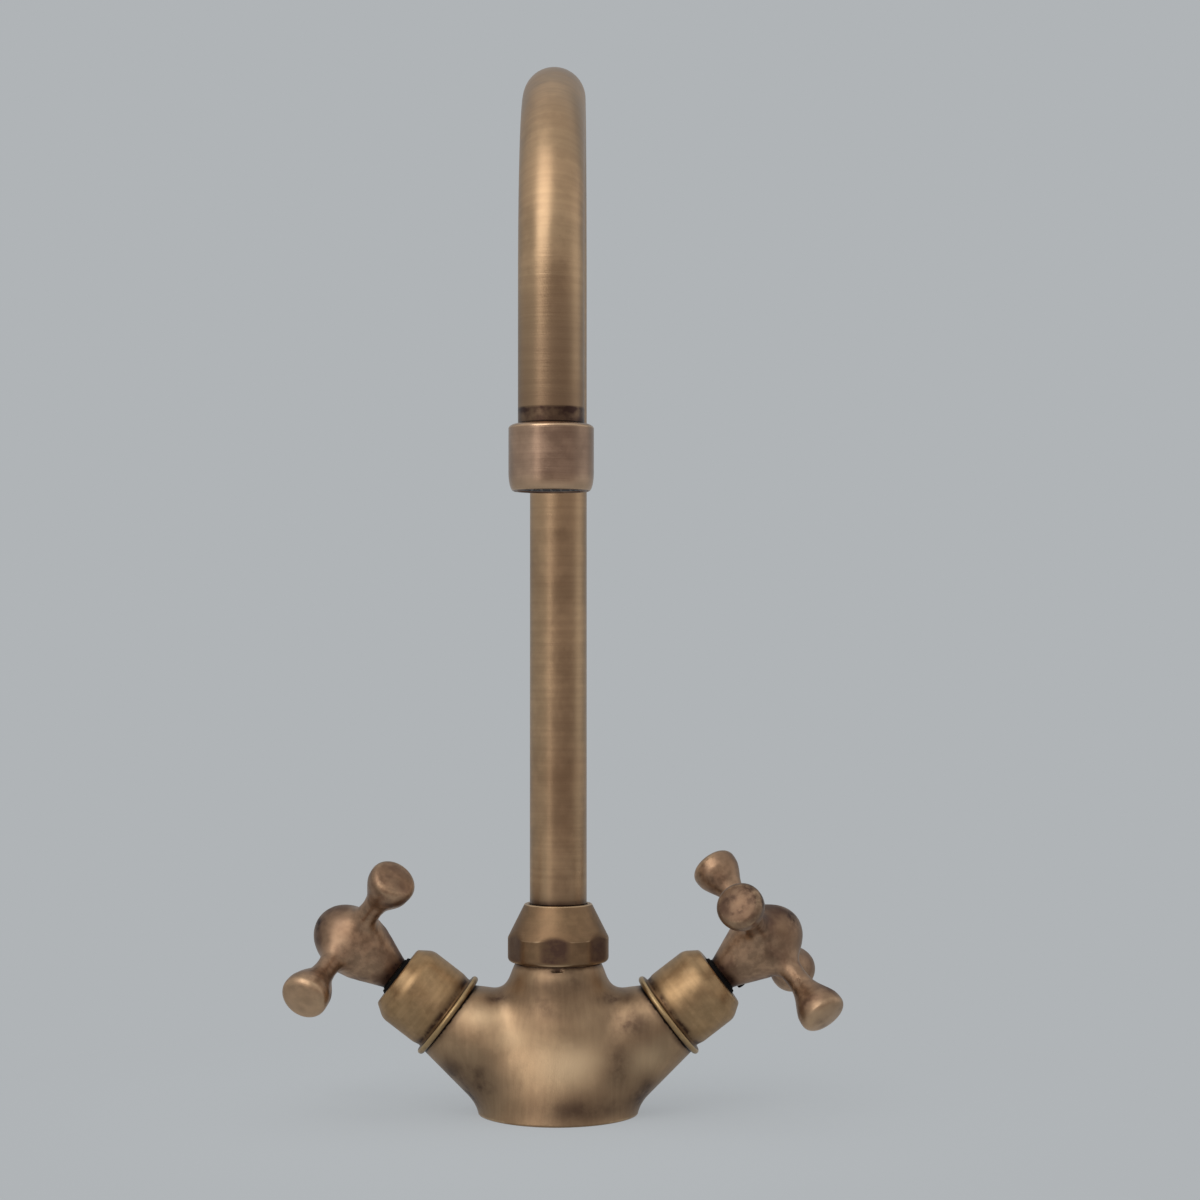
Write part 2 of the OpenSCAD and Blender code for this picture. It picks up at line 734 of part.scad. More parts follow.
module spindle_clip(side) {
    color(steel)
        at_valve(side)
            translate([0, 0, clip_u + lay / 2])
                difference() {
                    ring(clip_r, clip_groove_r + run, clip_t);
                    translate([0, -clip_gap / 2, -over]) cube([far, clip_gap, clip_t + 2 * over]);
                }
}

// How late an arm widens from its waist to its knob
trumpet_delay = 1.2;
rim_end = 60;
rim_x = knob_end_x - knob_dome - knob_round * sin(rim_end);

// A share from 0 to 1 that starts and ends gently
function ease(t) = t * t * (3 - 2 * t);

// One cross arm along +X: it narrows to a waist and widens like a trumpet into its knob
module cross_arm() {
    start = cross_root_r + over;
    steps = 6;
    root = [for (i = [0:steps - 1]) let (t = i / steps)
        [cross_root_r - (cross_root_r - cross_waist_r) * ease(t), start + (cross_waist_x - start) * t]];
    bell = [for (i = [0:steps - 1]) let (t = i / steps)
        [cross_waist_r + (knob_r - cross_waist_r) * ease(pow(t, trumpet_delay)),
         cross_waist_x + (rim_x - cross_waist_x) * t]];
    rim = arc([knob_r - knob_round, rim_x], knob_round, 0, rim_end, steps);
    face_r = knob_r - knob_round + knob_round * cos(rim_end);
    face = [for (i = [1:steps]) let (t = 1 - i / steps) [face_r * t, knob_end_x - knob_dome * t * t]];
    rotate([0, 90, 0])
        rotate_extrude()
            polygon(concat([[0, start]], root, bell, rim, face));
}

// The hub, a flaring neck that ends in a dome
module hub() {
    steps = 10;
    flare = [for (i = [0:steps]) let (t = i / steps)
        [hub_neck_r + (hub_r - hub_neck_r) * sin(90 * t), handle_u + (hub_u - handle_u) * t]];
    rotate_extrude()
        polygon(concat([[0, handle_u]], flare, arc([0, dome_u], dome_r, 0, 90, steps)));
}

module handle(side, turn, grub_turn) {
    color(bronze)
        at_valve(side)
            difference() {
                union() {
                    hub();
                    for (k = [0:3])
                        rotate([0, 0, turn + 90 * k])
                            translate([0, 0, cross_u])
                                cross_arm();
                }
                translate([0, 0, handle_u - over])
                    cylinder(r = shank_r + run, h = shank_top - handle_u + over + lay);
                translate([0, 0, grub_place_u])
                    rotate([0, 90, grub_turn])
                        cylinder(r = grub_r + run, h = dome_r);
            }
}

module grub_screw(side, grub_turn) {
    color(black_steel)
        at_valve(side)
            translate([0, 0, grub_place_u])
                rotate([0, 90, grub_turn])
                    difference() {
                        translate([0, 0, shank_r + run]) cylinder(r = grub_r, h = grub_end - shank_r - run);
                        translate([0, 0, grub_end - grub_key / 2])
                            cylinder(r = grub_key / 2 / cos(30), h = grub_key, $fn = 6);
                    }
}

// The hot handle's screw faces back and the cold handle's faces down
hot_grub_turn = hot_turn + hot_grub_lead;
cold_grub_turn = cold_turn + cold_grub_lead;

body();
base_seal();
spout_tube();
spout_foot();
spout_o_rings();
thrust_ring();
spout_nut();
outlet_collar();
aerator_insert();
aerator_screen();
aerator_washer();
bonnet(HOT);  // hot_bonnet
bonnet(COLD);  // cold_bonnet
mouth_ring(HOT);  // hot_mouth_ring
mouth_ring(COLD);  // cold_mouth_ring
gasket(HOT);  // hot_gasket
gasket(COLD);  // cold_gasket
cartridge(HOT);  // hot_cartridge
cartridge(COLD);  // cold_cartridge
seat_seal(HOT);  // hot_seat_seal
seat_seal(COLD);  // cold_seat_seal
fixed_disc(HOT);  // hot_fixed_disc
fixed_disc(COLD);  // cold_fixed_disc
moving_disc(HOT);  // hot_moving_disc
moving_disc(COLD);  // cold_moving_disc
spindle(HOT);  // hot_spindle
spindle(COLD);  // cold_spindle
spindle_rings(HOT);  // hot_spindle_rings
spindle_rings(COLD);  // cold_spindle_rings
spindle_clip(HOT);  // hot_spindle_clip
spindle_clip(COLD);  // cold_spindle_clip
handle(HOT, hot_turn, hot_grub_turn);  // hot_handle
handle(COLD, cold_turn, cold_grub_turn);  // cold_handle
grub_screw(HOT, hot_grub_turn);  // hot_grub_screw
grub_screw(COLD, cold_grub_turn);  // cold_grub_screw
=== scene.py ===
"""Dresses a two-handle gooseneck basin mixer in patinated brass.

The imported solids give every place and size. Classes for each sub-assembly
build the visible skins over them, and finishes dress them.
"""

import json
import logging
import math
from dataclasses import dataclass, replace
from enum import Enum
from typing import Callable, Optional, Sequence

import bmesh
import bpy
import numpy as np
from mathutils import Matrix, Vector


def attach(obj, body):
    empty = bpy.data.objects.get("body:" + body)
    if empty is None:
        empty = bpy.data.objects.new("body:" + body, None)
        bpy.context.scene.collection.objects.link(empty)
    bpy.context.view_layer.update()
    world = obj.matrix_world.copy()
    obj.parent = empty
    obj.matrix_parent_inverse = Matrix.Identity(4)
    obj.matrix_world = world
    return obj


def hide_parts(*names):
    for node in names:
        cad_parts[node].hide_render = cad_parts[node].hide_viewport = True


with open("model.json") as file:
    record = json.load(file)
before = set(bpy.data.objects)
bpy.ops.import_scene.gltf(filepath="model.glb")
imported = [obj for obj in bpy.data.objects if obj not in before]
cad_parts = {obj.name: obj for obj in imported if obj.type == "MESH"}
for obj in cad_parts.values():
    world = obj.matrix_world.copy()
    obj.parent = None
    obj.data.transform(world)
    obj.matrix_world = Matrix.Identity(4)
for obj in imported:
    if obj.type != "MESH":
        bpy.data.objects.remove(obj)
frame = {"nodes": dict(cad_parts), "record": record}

MM = 0.001
TINY = 1e-6
WELD = 1e-5  # millimetres within which points are one
ON_PLANE = 1e-4  # millimetres within which a point lies on a plane
SEAM_REACH = 3.0  # millimetres over which the painted shade and tarnish of a joint line fade
FAR = 99.0  # millimetres, past any seam or cut
UNWORN = -0.3  # bend that keeps an edge from looking rubbed
log = logging.getLogger("basin_mixer")


class Side(Enum):
    """The two valves: hot on the left, cold on the right."""

    HOT = -1
    COLD = 1

    @property
    def prefix(self) -> str:
        """Start of this side's node names."""
        return self.name.lower()


# Masks, which are 0 to 1 for each point


def bell(value: np.ndarray, middle: float, width: float) -> np.ndarray:
    """1 at the middle, and about a third one width away."""
    return np.exp(-((value - middle) / width) ** 2)


def grade(value: np.ndarray, zero_at: float, one_at: float) -> np.ndarray:
    """0 up to one limit and 1 past the other, straight between them."""
    return np.clip((value - zero_at) / (one_at - zero_at), 0, 1)


def seam_mask(distance: np.ndarray) -> np.ndarray:
    """1 at a joint line and 0 from SEAM_REACH millimetres away."""
    return np.clip(1 - distance / SEAM_REACH, 0, 1)


# Mesh building


@dataclass
class Skin:
    """A mesh in the making.

    Attributes:
        points: One row of x, y, z for each point, in millimetres.
        faces: Point numbers of each face, seen anticlockwise from outside.
    """

    points: np.ndarray
    faces: list


def arc(centre: Sequence, radius: float, start: float, end: float, steps: int) -> list:
    """Points on an arc of a profile.

    Args:
        centre: Centre as radius and height.
        radius: Radius of the arc.
        start: First angle in degrees.
        end: Last angle in degrees.
        steps: Number of segments.

    Returns:
        Points as pairs of radius and height.
    """
    turns = np.radians(np.linspace(start, end, steps + 1))
    return [(centre[0] + radius * math.cos(t), centre[1] + radius * math.sin(t)) for t in turns]


def circle_turns(sides: int) -> np.ndarray:
    """Angles of points spaced evenly round a circle, in radians."""
    return 2 * math.pi * np.arange(sides) / sides


def next_round(ring: list) -> list:
    """The neighbour of each point of a closed ring."""
    return ring[1:] + ring[:1]


def refined(profile: Sequence, longest: float) -> np.ndarray:
    """Splits the long runs of a closed profile.

    Args:
        profile: Points as pairs of radius and height.
        longest: Longest run allowed, in millimetres.

    Returns:
        The profile with points added along its long runs.
    """
    rows = []
    for a, b in zip(np.array(profile), np.array(next_round(profile))):
        steps = max(1, math.ceil(math.dist(a, b) / longest))
        rows += [a + (b - a) * k / steps for k in range(steps)]
    return np.array(rows)


def lathe(profile: Sequence, sides: int, longest: float) -> Skin:
    """Turns a closed profile about the upright axis.

    Args:
        profile: Points as pairs of radius and height, upward on the outside.
        sides: Number of faces round the axis.
        longest: Longest run left unsplit along the profile.

    Returns:
        The closed skin.
    """
    rows = refined(profile, longest)
    turn = circle_turns(sides)
    grid = np.stack([np.outer(rows[:, 0], np.cos(turn)), np.outer(rows[:, 0], np.sin(turn)),
                     np.outer(rows[:, 1], np.ones(sides))], axis=-1)
    return stacked(grid, closed=True)


def stacked(rings: Sequence, closed: bool = False) -> Skin:
    """Joins rings of the same count into a tube.

    Args:
        rings: Rows of points, each anticlockwise seen from above, upward.
        closed: Whether the last ring joins the first.

    Returns:
        The tube.
    """
    count, sides = len(rings), len(rings[0])
    faces = []
    for j in range(count if closed else count - 1):
        a, b = j * sides, (j + 1) % count * sides
        faces += [[a + i, a + (i + 1) % sides, b + (i + 1) % sides, b + i] for i in range(sides)]
    return Skin(np.vstack(rings), faces)


def smooth_least(a: np.ndarray, b: np.ndarray, reach: float) -> np.ndarray:
    """Smooth lower envelope of two distances, a soft union.

    Args:
        a: First distance.
        b: Second distance.
        reach: How far the two blend.

    Returns:
        The blended distance.
    """
    h = np.clip(0.5 + 0.5 * (b - a) / reach, 0.0, 1.0)
    return b * (1 - h) + a * h - reach * h * (1 - h)


def slope_of(gap: Callable, points: np.ndarray, step: float = 0.02) -> np.ndarray:
    """Gradient of a distance by central differences.

    Args:
        gap: Distance of each point outside a shape.
        points: Points to test.
        step: Half the difference step.

    Returns:
        One gradient for each point.
    """
    shifts = step * np.eye(3)
    columns = [(gap(points + shift) - gap(points - shift)) / (2 * step) for shift in shifts]
    return np.stack(columns, axis=1)


def bend_of(gap: Callable, points: np.ndarray, step: float = 0.4) -> np.ndarray:
    """Mean bend of a distance's levels, positive on outer edges.

    Args:
        gap: Distance of each point outside a shape.
        points: Points to test.
        step: Half the difference step, in millimetres.

    Returns:
        One value for each point, in turns of the normal per millimetre.
    """
    total = np.zeros(len(points))
    for axis in range(3):
        for sign in (-1, 1):
            slope = slope_of(gap, points + sign * step * np.eye(3)[axis])
            total += sign * slope[:, axis] / np.maximum(np.linalg.norm(slope, axis=1), TINY)
    return total / (4 * step)


def settled(gap: Callable, points: np.ndarray, rounds: int = 5) -> np.ndarray:
    """Moves points onto the zero level of a distance.

    Args:
        gap: Distance of each point outside a shape.
        points: Points near the surface.
        rounds: Number of Newton steps.

    Returns:
        The moved points.
    """
    for _ in range(rounds):
        slope = slope_of(gap, points)
        size = np.maximum((slope ** 2).sum(axis=1), TINY)
        points = points - slope * (gap(points) / size)[:, None]
    return points


def filled_cells(gap: Callable, axes: Sequence, cell: float, block: int = 4) -> np.ndarray:
    """Tells which grid points lie inside a shape, testing finely only near its surface.

    Args:
        gap: Distance of each point outside the shape.
        axes: Grid values along x, y and z.
        cell: Size of a grid cell.
        block: Number of cells between two coarse tests.

    Returns:
        A grid of flags, true inside.
    """
    coarse = [a[::block] for a in axes]
    spots = np.stack(np.meshgrid(*coarse, indexing="ij"), axis=-1).reshape(-1, 3)
    rough = gap(spots).reshape([len(a) for a in coarse])
    rough = rough[np.ix_(*(np.arange(len(a)) // block for a in axes))]
    inside = rough < 0
    near = np.argwhere(np.abs(rough) < block * cell * math.sqrt(3))
    points = np.stack([axes[k][near[:, k]] for k in range(3)], axis=1)
    inside[tuple(near.T)] = gap(points) < 0
    return inside


def netted(gap: Callable, low: Sequence, high: Sequence, cell: float) -> Skin:
    """Meshes the zero level of a distance with a surface net.

    Args:
        gap: Distance of each point outside the shape.
        low: Lowest corner of the region.
        high: Highest corner of the region.
        cell: Size of a grid cell.

    Returns:
        A closed skin of quads that lies on the zero level.
    """
    axes = [np.arange(a, b + cell, cell) for a, b in zip(low, high)]
    inside = filled_cells(gap, axes, cell)
    cells = [n - 1 for n in inside.shape]
    shifted = [inside[dx:cells[0] + dx, dy:cells[1] + dy, dz:cells[2] + dz]
               for dx, dy, dz in np.ndindex(2, 2, 2)]
    mixed = np.any(shifted, axis=0) & ~np.all(shifted, axis=0)
    number = np.full(mixed.shape, -1)
    number[mixed] = np.arange(mixed.sum())
    where = np.argwhere(mixed)
    points = np.stack([axes[k][where[:, k]] + cell / 2 for k in range(3)], axis=1)
    faces = []
    for k in range(3):
        p, q = (k + 1) % 3, (k + 2) % 3
        near = np.take(inside, range(cells[k]), axis=k)
        off = np.take(inside, range(1, cells[k] + 1), axis=k)
        for leaving in (True, False):
            edge = np.argwhere((near & ~off) if leaving else (~near & off))
            edge = edge[(edge[:, p] > 0) & (edge[:, q] > 0)]
            ring = []
            for dp, dq in ((1, 1), (0, 1), (0, 0), (1, 0)):
                corner = edge.copy()
                corner[:, p] -= dp
                corner[:, q] -= dq
                ring.append(number[tuple(corner.T)])
            faces += np.stack(ring if leaving else ring[::-1], axis=1).tolist()
    return Skin(settled(gap, points), faces)


def through(knots: Sequence, steps: int) -> np.ndarray:
    """A smooth line through knots, with no overshoot between them.

    Args:
        knots: Points whose first value rises.
        steps: Number of pieces between two knots.

    Returns:
        Points along the line.
    """
    x, y = np.array(knots).T
    slope = np.diff(y) / np.diff(x)
    lean = np.zeros(len(x))
    lean[0], lean[-1] = slope[0], slope[-1]
    for k in range(1, len(x) - 1):
        a, b = slope[k - 1], slope[k]
        lean[k] = 0.0 if a * b <= 0 else 2 * a * b / (a + b)
    rows = []
    for k in range(len(x) - 1):
        run = x[k + 1] - x[k]
        for t in np.arange(steps) / steps:
            h0, h1 = 2 * t ** 3 - 3 * t ** 2 + 1, t ** 3 - 2 * t ** 2 + t
            h2, h3 = -2 * t ** 3 + 3 * t ** 2, t ** 3 - t ** 2
            level = h0 * y[k] + h1 * run * lean[k] + h2 * y[k + 1] + h3 * run * lean[k + 1]
            rows.append((x[k] + run * t, level))
    rows.append((x[-1], y[-1]))
    return np.array(rows)


def turned_gap(along: np.ndarray, radius: np.ndarray, outline: np.ndarray) -> np.ndarray:
    """Distance to a turned shape given by an outline whose length rises.

    Args:
        along: Place of each point along the axis.
        radius: Distance of each point from the axis.
        outline: Length and radius of each outline point.

    Returns:
        One distance for each point, negative inside.
    """
    best = np.full(along.shape, np.inf)
    for (a0, r0), (a1, r1) in zip(outline[:-1], outline[1:]):
        da, dr = a1 - a0, r1 - r0
        size = da * da + dr * dr
        t = np.clip(((along - a0) * da + (radius - r0) * dr) / size, 0, 1)
        best = np.minimum(best, (along - a0 - t * da) ** 2 + (radius - r0 - t * dr) ** 2)
    distance = np.sqrt(best)
    level = np.interp(along, outline[:, 0], outline[:, 1], left=outline[0, 1], right=-1.0)
    return np.where(radius < level, -distance, distance)


def fill(work: bmesh.types.BMesh, skin: Skin) -> None:
    """Adds a skin to a bmesh.

    Args:
        work: The bmesh.
        skin: The skin to add.
    """
    points = [work.verts.new(p) for p in skin.points]
    for face in skin.faces:
        work.faces.new([points[i] for i in face])


def emptied(work: bmesh.types.BMesh) -> Skin:
    """Turns a bmesh into a skin with its faces outward, and frees it.

    Args:
        work: The bmesh.

    Returns:
        Its points and faces.
    """
    bmesh.ops.remove_doubles(work, verts=work.verts[:], dist=WELD)
    bmesh.ops.recalc_face_normals(work, faces=work.faces[:])
    work.verts.index_update()
    points = np.array([v.co[:] for v in work.verts])
    faces = [[v.index for v in f.verts] for f in work.faces]
    open_edges = sum(1 for e in work.edges if not e.is_manifold)
    log.info("skin of %d points, %d open edges", len(points), open_edges)
    work.free()
    return Skin(points, faces)


def read_rows(items: object, label: str, width: int, kind: type = float) -> np.ndarray:
    """Reads a value of every item of a mesh.

    Args:
        items: The mesh's points, normals or edges.
        label: Name of the value.
        width: Number of numbers in it.
        kind: Type of the numbers.

    Returns:
        One row for each item.
    """
    values = np.zeros(len(items) * width, dtype=kind)
    items.foreach_get(label, values)
    return values.reshape(-1, width)


def points_of(mesh: bpy.types.Mesh) -> np.ndarray:
    """Places of a mesh's points, one row each, in millimetres."""
    return read_rows(mesh.vertices, "co", 3) / MM


def curvature(mesh: bpy.types.Mesh) -> np.ndarray:
    """Mean bend of a mesh at each point, smoothed, positive on outer edges.

    Args:
        mesh: The mesh.

    Returns:
        One value for each point, in turns of the normal per millimetre.
    """
    count = len(mesh.vertices)
    place = points_of(mesh)
    normal = read_rows(mesh.vertex_normals, "vector", 3)
    a, b = read_rows(mesh.edges, "vertices", 2, np.int64).T
    run = place[b] - place[a]
    least_length = 1e-4
    bend = ((normal[b] - normal[a]) * run).sum(axis=1)
    bend /= np.maximum((run ** 2).sum(axis=1), least_length)
    share = np.maximum(np.bincount(a, minlength=count) + np.bincount(b, minlength=count), 1)
    value = (np.bincount(a, bend, count) + np.bincount(b, bend, count)) / share
    for _ in range(2):
        mean = np.bincount(a, value[b], count) + np.bincount(b, value[a], count)
        value = 0.5 * value + 0.5 * mean / share
    return value


def mark(mesh: bpy.types.Mesh, **values: np.ndarray) -> None:
    """Writes attributes on a mesh's points, for its finish to read.

    Args:
        mesh: The mesh.
        values: Names of attributes and their values, a number or a vector for each point.
    """
    for name, rows in values.items():
        kind, label = ("FLOAT", "value") if np.ndim(rows) == 1 else ("FLOAT_VECTOR", "vector")
        made = mesh.attributes.new(name, kind, "POINT")
        made.data.foreach_set(label, np.ascontiguousarray(rows).ravel())


def smooth(mesh: bpy.types.Mesh, sharp: float) -> None:
    """Shades a mesh smooth but for edges over an angle in degrees."""
    mesh.polygons.foreach_set("use_smooth", [True] * len(mesh.polygons))
    mesh.set_sharp_from_angle(angle=math.radians(sharp))


def linked(name: str, data: bpy.types.ID) -> bpy.types.Object:
    """Makes an object of some data, in the scene.

    Args:
        name: Name of the object.
        data: Its mesh, lamp or camera.

    Returns:
        The new object.
    """
    made = bpy.data.objects.new(name, data)
    bpy.context.scene.collection.objects.link(made)
    return made


def meshed(name: str, points: Sequence, edges: Sequence, faces: Sequence) -> bpy.types.Object:
    """Makes an object of points, edges and faces, in metres.

    Args:
        name: Name of the object and its mesh.
        points: Its points.
        edges: Its loose edges.
        faces: Its faces.

    Returns:
        The new object.
    """
    mesh = bpy.data.meshes.new(name)
    mesh.from_pydata(points, edges, faces)
    return linked(name, mesh)


def add_piece(name: str, skin: Skin, place: Matrix, sharp: float) -> bpy.types.Object:
    """Makes an object of a skin, with its place in its mesh.

    The mesh keeps the attribute "turned", the place in the piece's own
    upright frame, in metres.

    Args:
        name: Name of the object.
        skin: The skin in the piece's own frame.
        place: Where the piece's own frame lies, in metres.
        sharp: Angle in degrees above which an edge stays sharp.

    Returns:
        The new object.
    """
    local = skin.points * MM
    piece = meshed(name, local.tolist(), [], skin.faces)
    mesh = piece.data
    mark(mesh, turned=local)
    mesh.transform(place)
    mesh.update()
    smooth(mesh, sharp)
    return piece


def dress(target: bpy.types.Object, material: bpy.types.Material) -> None:
    """Puts one material on every slot of an object.

    Args:
        target: The object to dress.
        material: Its material.
    """
    slots = target.data.materials
    if len(slots) == 0:
        slots.append(material)
    for index in range(len(slots)):
        slots[index] = material


def hand_over(piece: bpy.types.Object, material: bpy.types.Material, body: str,
              node: str) -> None:
    """Dresses a finished piece, attaches it to its body and hides the CAD node it stands for.

    Args:
        piece: The finished object.
        material: Its material.
        body: Name of the moving body that carries it.
        node: CAD node that the piece stands for.
    """
    dress(piece, material)
    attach(piece, body)
    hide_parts(node)
    log.info("%s rides on %s with %d faces", piece.name, body, len(piece.data.polygons))


@dataclass(frozen=True)
class Arms:
    """Where the faces of the two arms lie, in millimetres.

    Attributes:
        x: Distance of a face from the middle.
        z: Height of a face.
        tilt: Rise of an arm above level, in degrees.
    """

    x: float = 34.1
    z: float = 30.45
    tilt: float = 37.5

    def place(self, side: Side, unit: float = 1.0) -> Matrix:
        """Frame of a valve, with its third axis out of the arm.

        Args:
            side: Which valve.
            unit: 1 for a place in millimetres, MM for metres.

        Returns:
            The frame.
        """
        lean = Matrix.Rotation(math.radians(side.value * (90 - self.tilt)), 4, "Y")
        place = Matrix.Translation((side.value * self.x, 0, self.z)) @ lean
        place.translation *= unit
        return place

    def axes(self, p: np.ndarray) -> tuple:
        """Places of points along and across the nearer arm.

        Args:
            p: One row of x, y, z for each point.

        Returns:
            The distance out of the arm's face, and the height above its axis.
        """
        tilt = math.radians(self.tilt)
        x, z = np.abs(p[:, 0]) - self.x, p[:, 2] - self.z
        return x * math.cos(tilt) + z * math.sin(tilt), z * math.cos(tilt) - x * math.sin(tilt)


ARMS = Arms()


# Node trees


Socket = bpy.types.NodeSocket
Sockets = bpy.types.bpy_prop_collection


@dataclass
class Wiring:
    """Short calls that add and link the nodes of one tree."""

    tree: bpy.types.NodeTree

    def fill(self, node: bpy.types.Node, feeds: dict) -> bpy.types.Node:
        """Links or sets inputs of a node.

        Args:
            node: The node.
            feeds: Name or number of an input to an output socket or a plain value.

        Returns:
            The same node.
        """
        for key, value in feeds.items():
            if isinstance(value, Socket):
                self.tree.links.new(value, node.inputs[key])
            else:
                node.inputs[key].default_value = value
        return node

    def node(self, kind: str, feeds: Optional[dict] = None, **settings: object) -> bpy.types.Node:
        """Adds a node.

        Args:
            kind: The node's type name.
            feeds: What its inputs get.
            settings: Properties to set on it.

        Returns:
            The new node.
        """
        made = self.tree.nodes.new(kind)
        for key, value in settings.items():
            setattr(made, key, value)
        return self.fill(made, feeds or {})

    def math(self, operation: str, *values: object, clamp: bool = False) -> Socket:
        """Adds a Math node.

        Args:
            operation: Its operation.
            values: One or two values that it takes.
            clamp: Whether the result is clamped to 0 and 1.

        Returns:
            The result.
        """
        feeds = dict(enumerate(values))
        return self.node("ShaderNodeMath", feeds, operation=operation, use_clamp=clamp).outputs[0]

    def times(self, a: object, b: object) -> Socket:
        """The product of two values."""
        return self.math("MULTIPLY", a, b)

    def vector(self, operation: str, a: object, b: object, result: str = "Vector") -> Socket:
        """Adds a Vector Math node.

        Args:
            operation: Its operation.
            a: First vector.
            b: Second vector.
            result: Which output is wanted.

        Returns:
            The resulting vector or value.
        """
        feeds = {0: a, 1: b}
        return self.node("ShaderNodeVectorMath", feeds, operation=operation).outputs[result]

    def ramp(self, value: object, low: object, high: object, to_low: object = 0.0,
             to_high: object = 1.0) -> Socket:
        """Maps a value smoothly from one range to another.

        Args:
            value: The value to map.
            low: Where the range starts.
            high: Where the range ends.
            to_low: Result at the start.
            to_high: Result at the end.

        Returns:
            The mapped value.
        """
        feeds = {"Value": value, "From Min": low, "From Max": high, "To Min": to_low,
                 "To Max": to_high}
        made = self.node("ShaderNodeMapRange", feeds, interpolation_type="SMOOTHSTEP")
        return made.outputs["Result"]

    def noise(self, vector: Socket, scale: object, detail: float, rough: float,
              distortion: float = 0.0) -> Socket:
        """Adds a noise texture.

        Args:
            vector: Where it is read.
            scale: Waves in one unit of the place, about.
            detail: Number of finer layers.
            rough: Strength of the finer layers.
            distortion: How far the pattern is bent.

        Returns:
            The noise, about 0.5 on average.
        """
        feeds = {"Vector": vector, "Scale": scale, "Detail": detail, "Roughness": rough,
                 "Distortion": distortion}
        return self.node("ShaderNodeTexNoise", feeds).outputs["Fac"]

    def layered(self, colour: object, *layers: tuple) -> Socket:
        """Covers a colour with others, one after another.

        Args:
            colour: The lowest colour.
            layers: How much of each layer shows, and its colour.

        Returns:
            The colour on top.
        """
        for share, tint in layers:
            feeds = {"Factor": share, 6: colour, 7: tint}
            colour = self.node("ShaderNodeMix", feeds, data_type="RGBA").outputs[2]
        return colour

    def split(self, vector: Socket) -> tuple:
        """The three parts of a vector."""
        return tuple(self.node("ShaderNodeSeparateXYZ", {0: vector}).outputs)

    def joined(self, *parts: object) -> Socket:
        """A vector of three parts."""
        return self.node("ShaderNodeCombineXYZ", dict(enumerate(parts))).outputs[0]

    def attribute(self, name: str, result: str = "Fac") -> Socket:
        """Value of an attribute of the surface, 0 where it is missing."""
        return self.node("ShaderNodeAttribute", attribute_name=name).outputs[result]

    def place(self) -> Socket:
        """Place on the surface in the object's own coordinates."""
        return self.node("ShaderNodeTexCoord").outputs["Object"]

    def bump(self, height: Socket, strength: float, distance: float) -> Socket:
        """Normal of a surface with small heights on it."""
        feeds = {"Height": height, "Strength": strength, "Distance": distance}
        return self.node("ShaderNodeBump", feeds).outputs["Normal"]


def shader_group(name: str, inputs: dict, build: Callable) -> bpy.types.NodeTree:
    """Makes a shader node group with named sockets.

    Args:
        name: Name of the group.
        inputs: Socket name to a default value, or to None for a vector.
        build: Called with the wiring and the inputs, returns each output's value by name.

    Returns:
        The group.
    """
    tree = bpy.data.node_groups.new(name, "ShaderNodeTree")
    for label, default in inputs.items():
        kind = "NodeSocketVector" if default is None else "NodeSocketFloat"
        socket = tree.interface.new_socket(label, in_out="INPUT", socket_type=kind)
        if default is not None:
            socket.default_value = default
    w = Wiring(tree)
    results = build(w, w.node("NodeGroupInput").outputs)
    for label in results:
        tree.interface.new_socket(label, in_out="OUTPUT", socket_type="NodeSocketFloat")
    w.node("NodeGroupOutput", results)
    return tree


def geometry_group(name: str, inputs: dict, build: Callable) -> bpy.types.NodeTree:
    """Makes a Geometry Nodes tree that ends in real geometry with one material.

    Args:
        name: Name of the tree.
        inputs: Socket name to kind, besides the geometry and the material.
        build: Called with the wiring and the inputs, returns the geometry.

    Returns:
        The tree.
    """
    tree = bpy.data.node_groups.new(name, "GeometryNodeTree")
    for label, kind in {"Geometry": "Geometry", **inputs, "Material": "Material"}.items():
        tree.interface.new_socket(label, in_out="INPUT", socket_type=f"NodeSocket{kind}")
    tree.interface.new_socket("Geometry", in_out="OUTPUT", socket_type="NodeSocketGeometry")
    w = Wiring(tree)
    given = w.node("NodeGroupInput").outputs
    real = w.node("GeometryNodeRealizeInstances", {0: build(w, given)})
    paint = w.node("GeometryNodeSetMaterial", {"Geometry": real.outputs[0],
                                               "Material": given["Material"]})
    w.node("NodeGroupOutput", {0: paint.outputs[0]})
    return tree


def add_nodes(piece: bpy.types.Object, tree: bpy.types.NodeTree, values: dict) -> None:
    """Adds a Geometry Nodes modifier and sets its inputs by their identifiers.

    Args:
        piece: The object.
        tree: The modifier's tree.
        values: Socket name to value.
    """
    modifier = piece.modifiers.new(tree.name, "NODES")
    modifier.node_group = tree
    for item in tree.interface.items_tree:
        if item.in_out == "INPUT" and item.name in values:
            modifier[item.identifier] = values[item.name]


def apply_modifiers(piece: bpy.types.Object) -> None:
    """Replaces an object's mesh by its evaluated one and drops its modifiers.

    Args:
        piece: The object.
    """
    bpy.context.view_layer.update()
    depsgraph = bpy.context.evaluated_depsgraph_get()
    evaluated = piece.evaluated_get(depsgraph)
    mesh = bpy.data.meshes.new_from_object(evaluated, depsgraph=depsgraph)
    piece.modifiers.clear()
    piece.data = mesh
    log.info("%s made by its nodes: %d faces", piece.name, len(mesh.polygons))


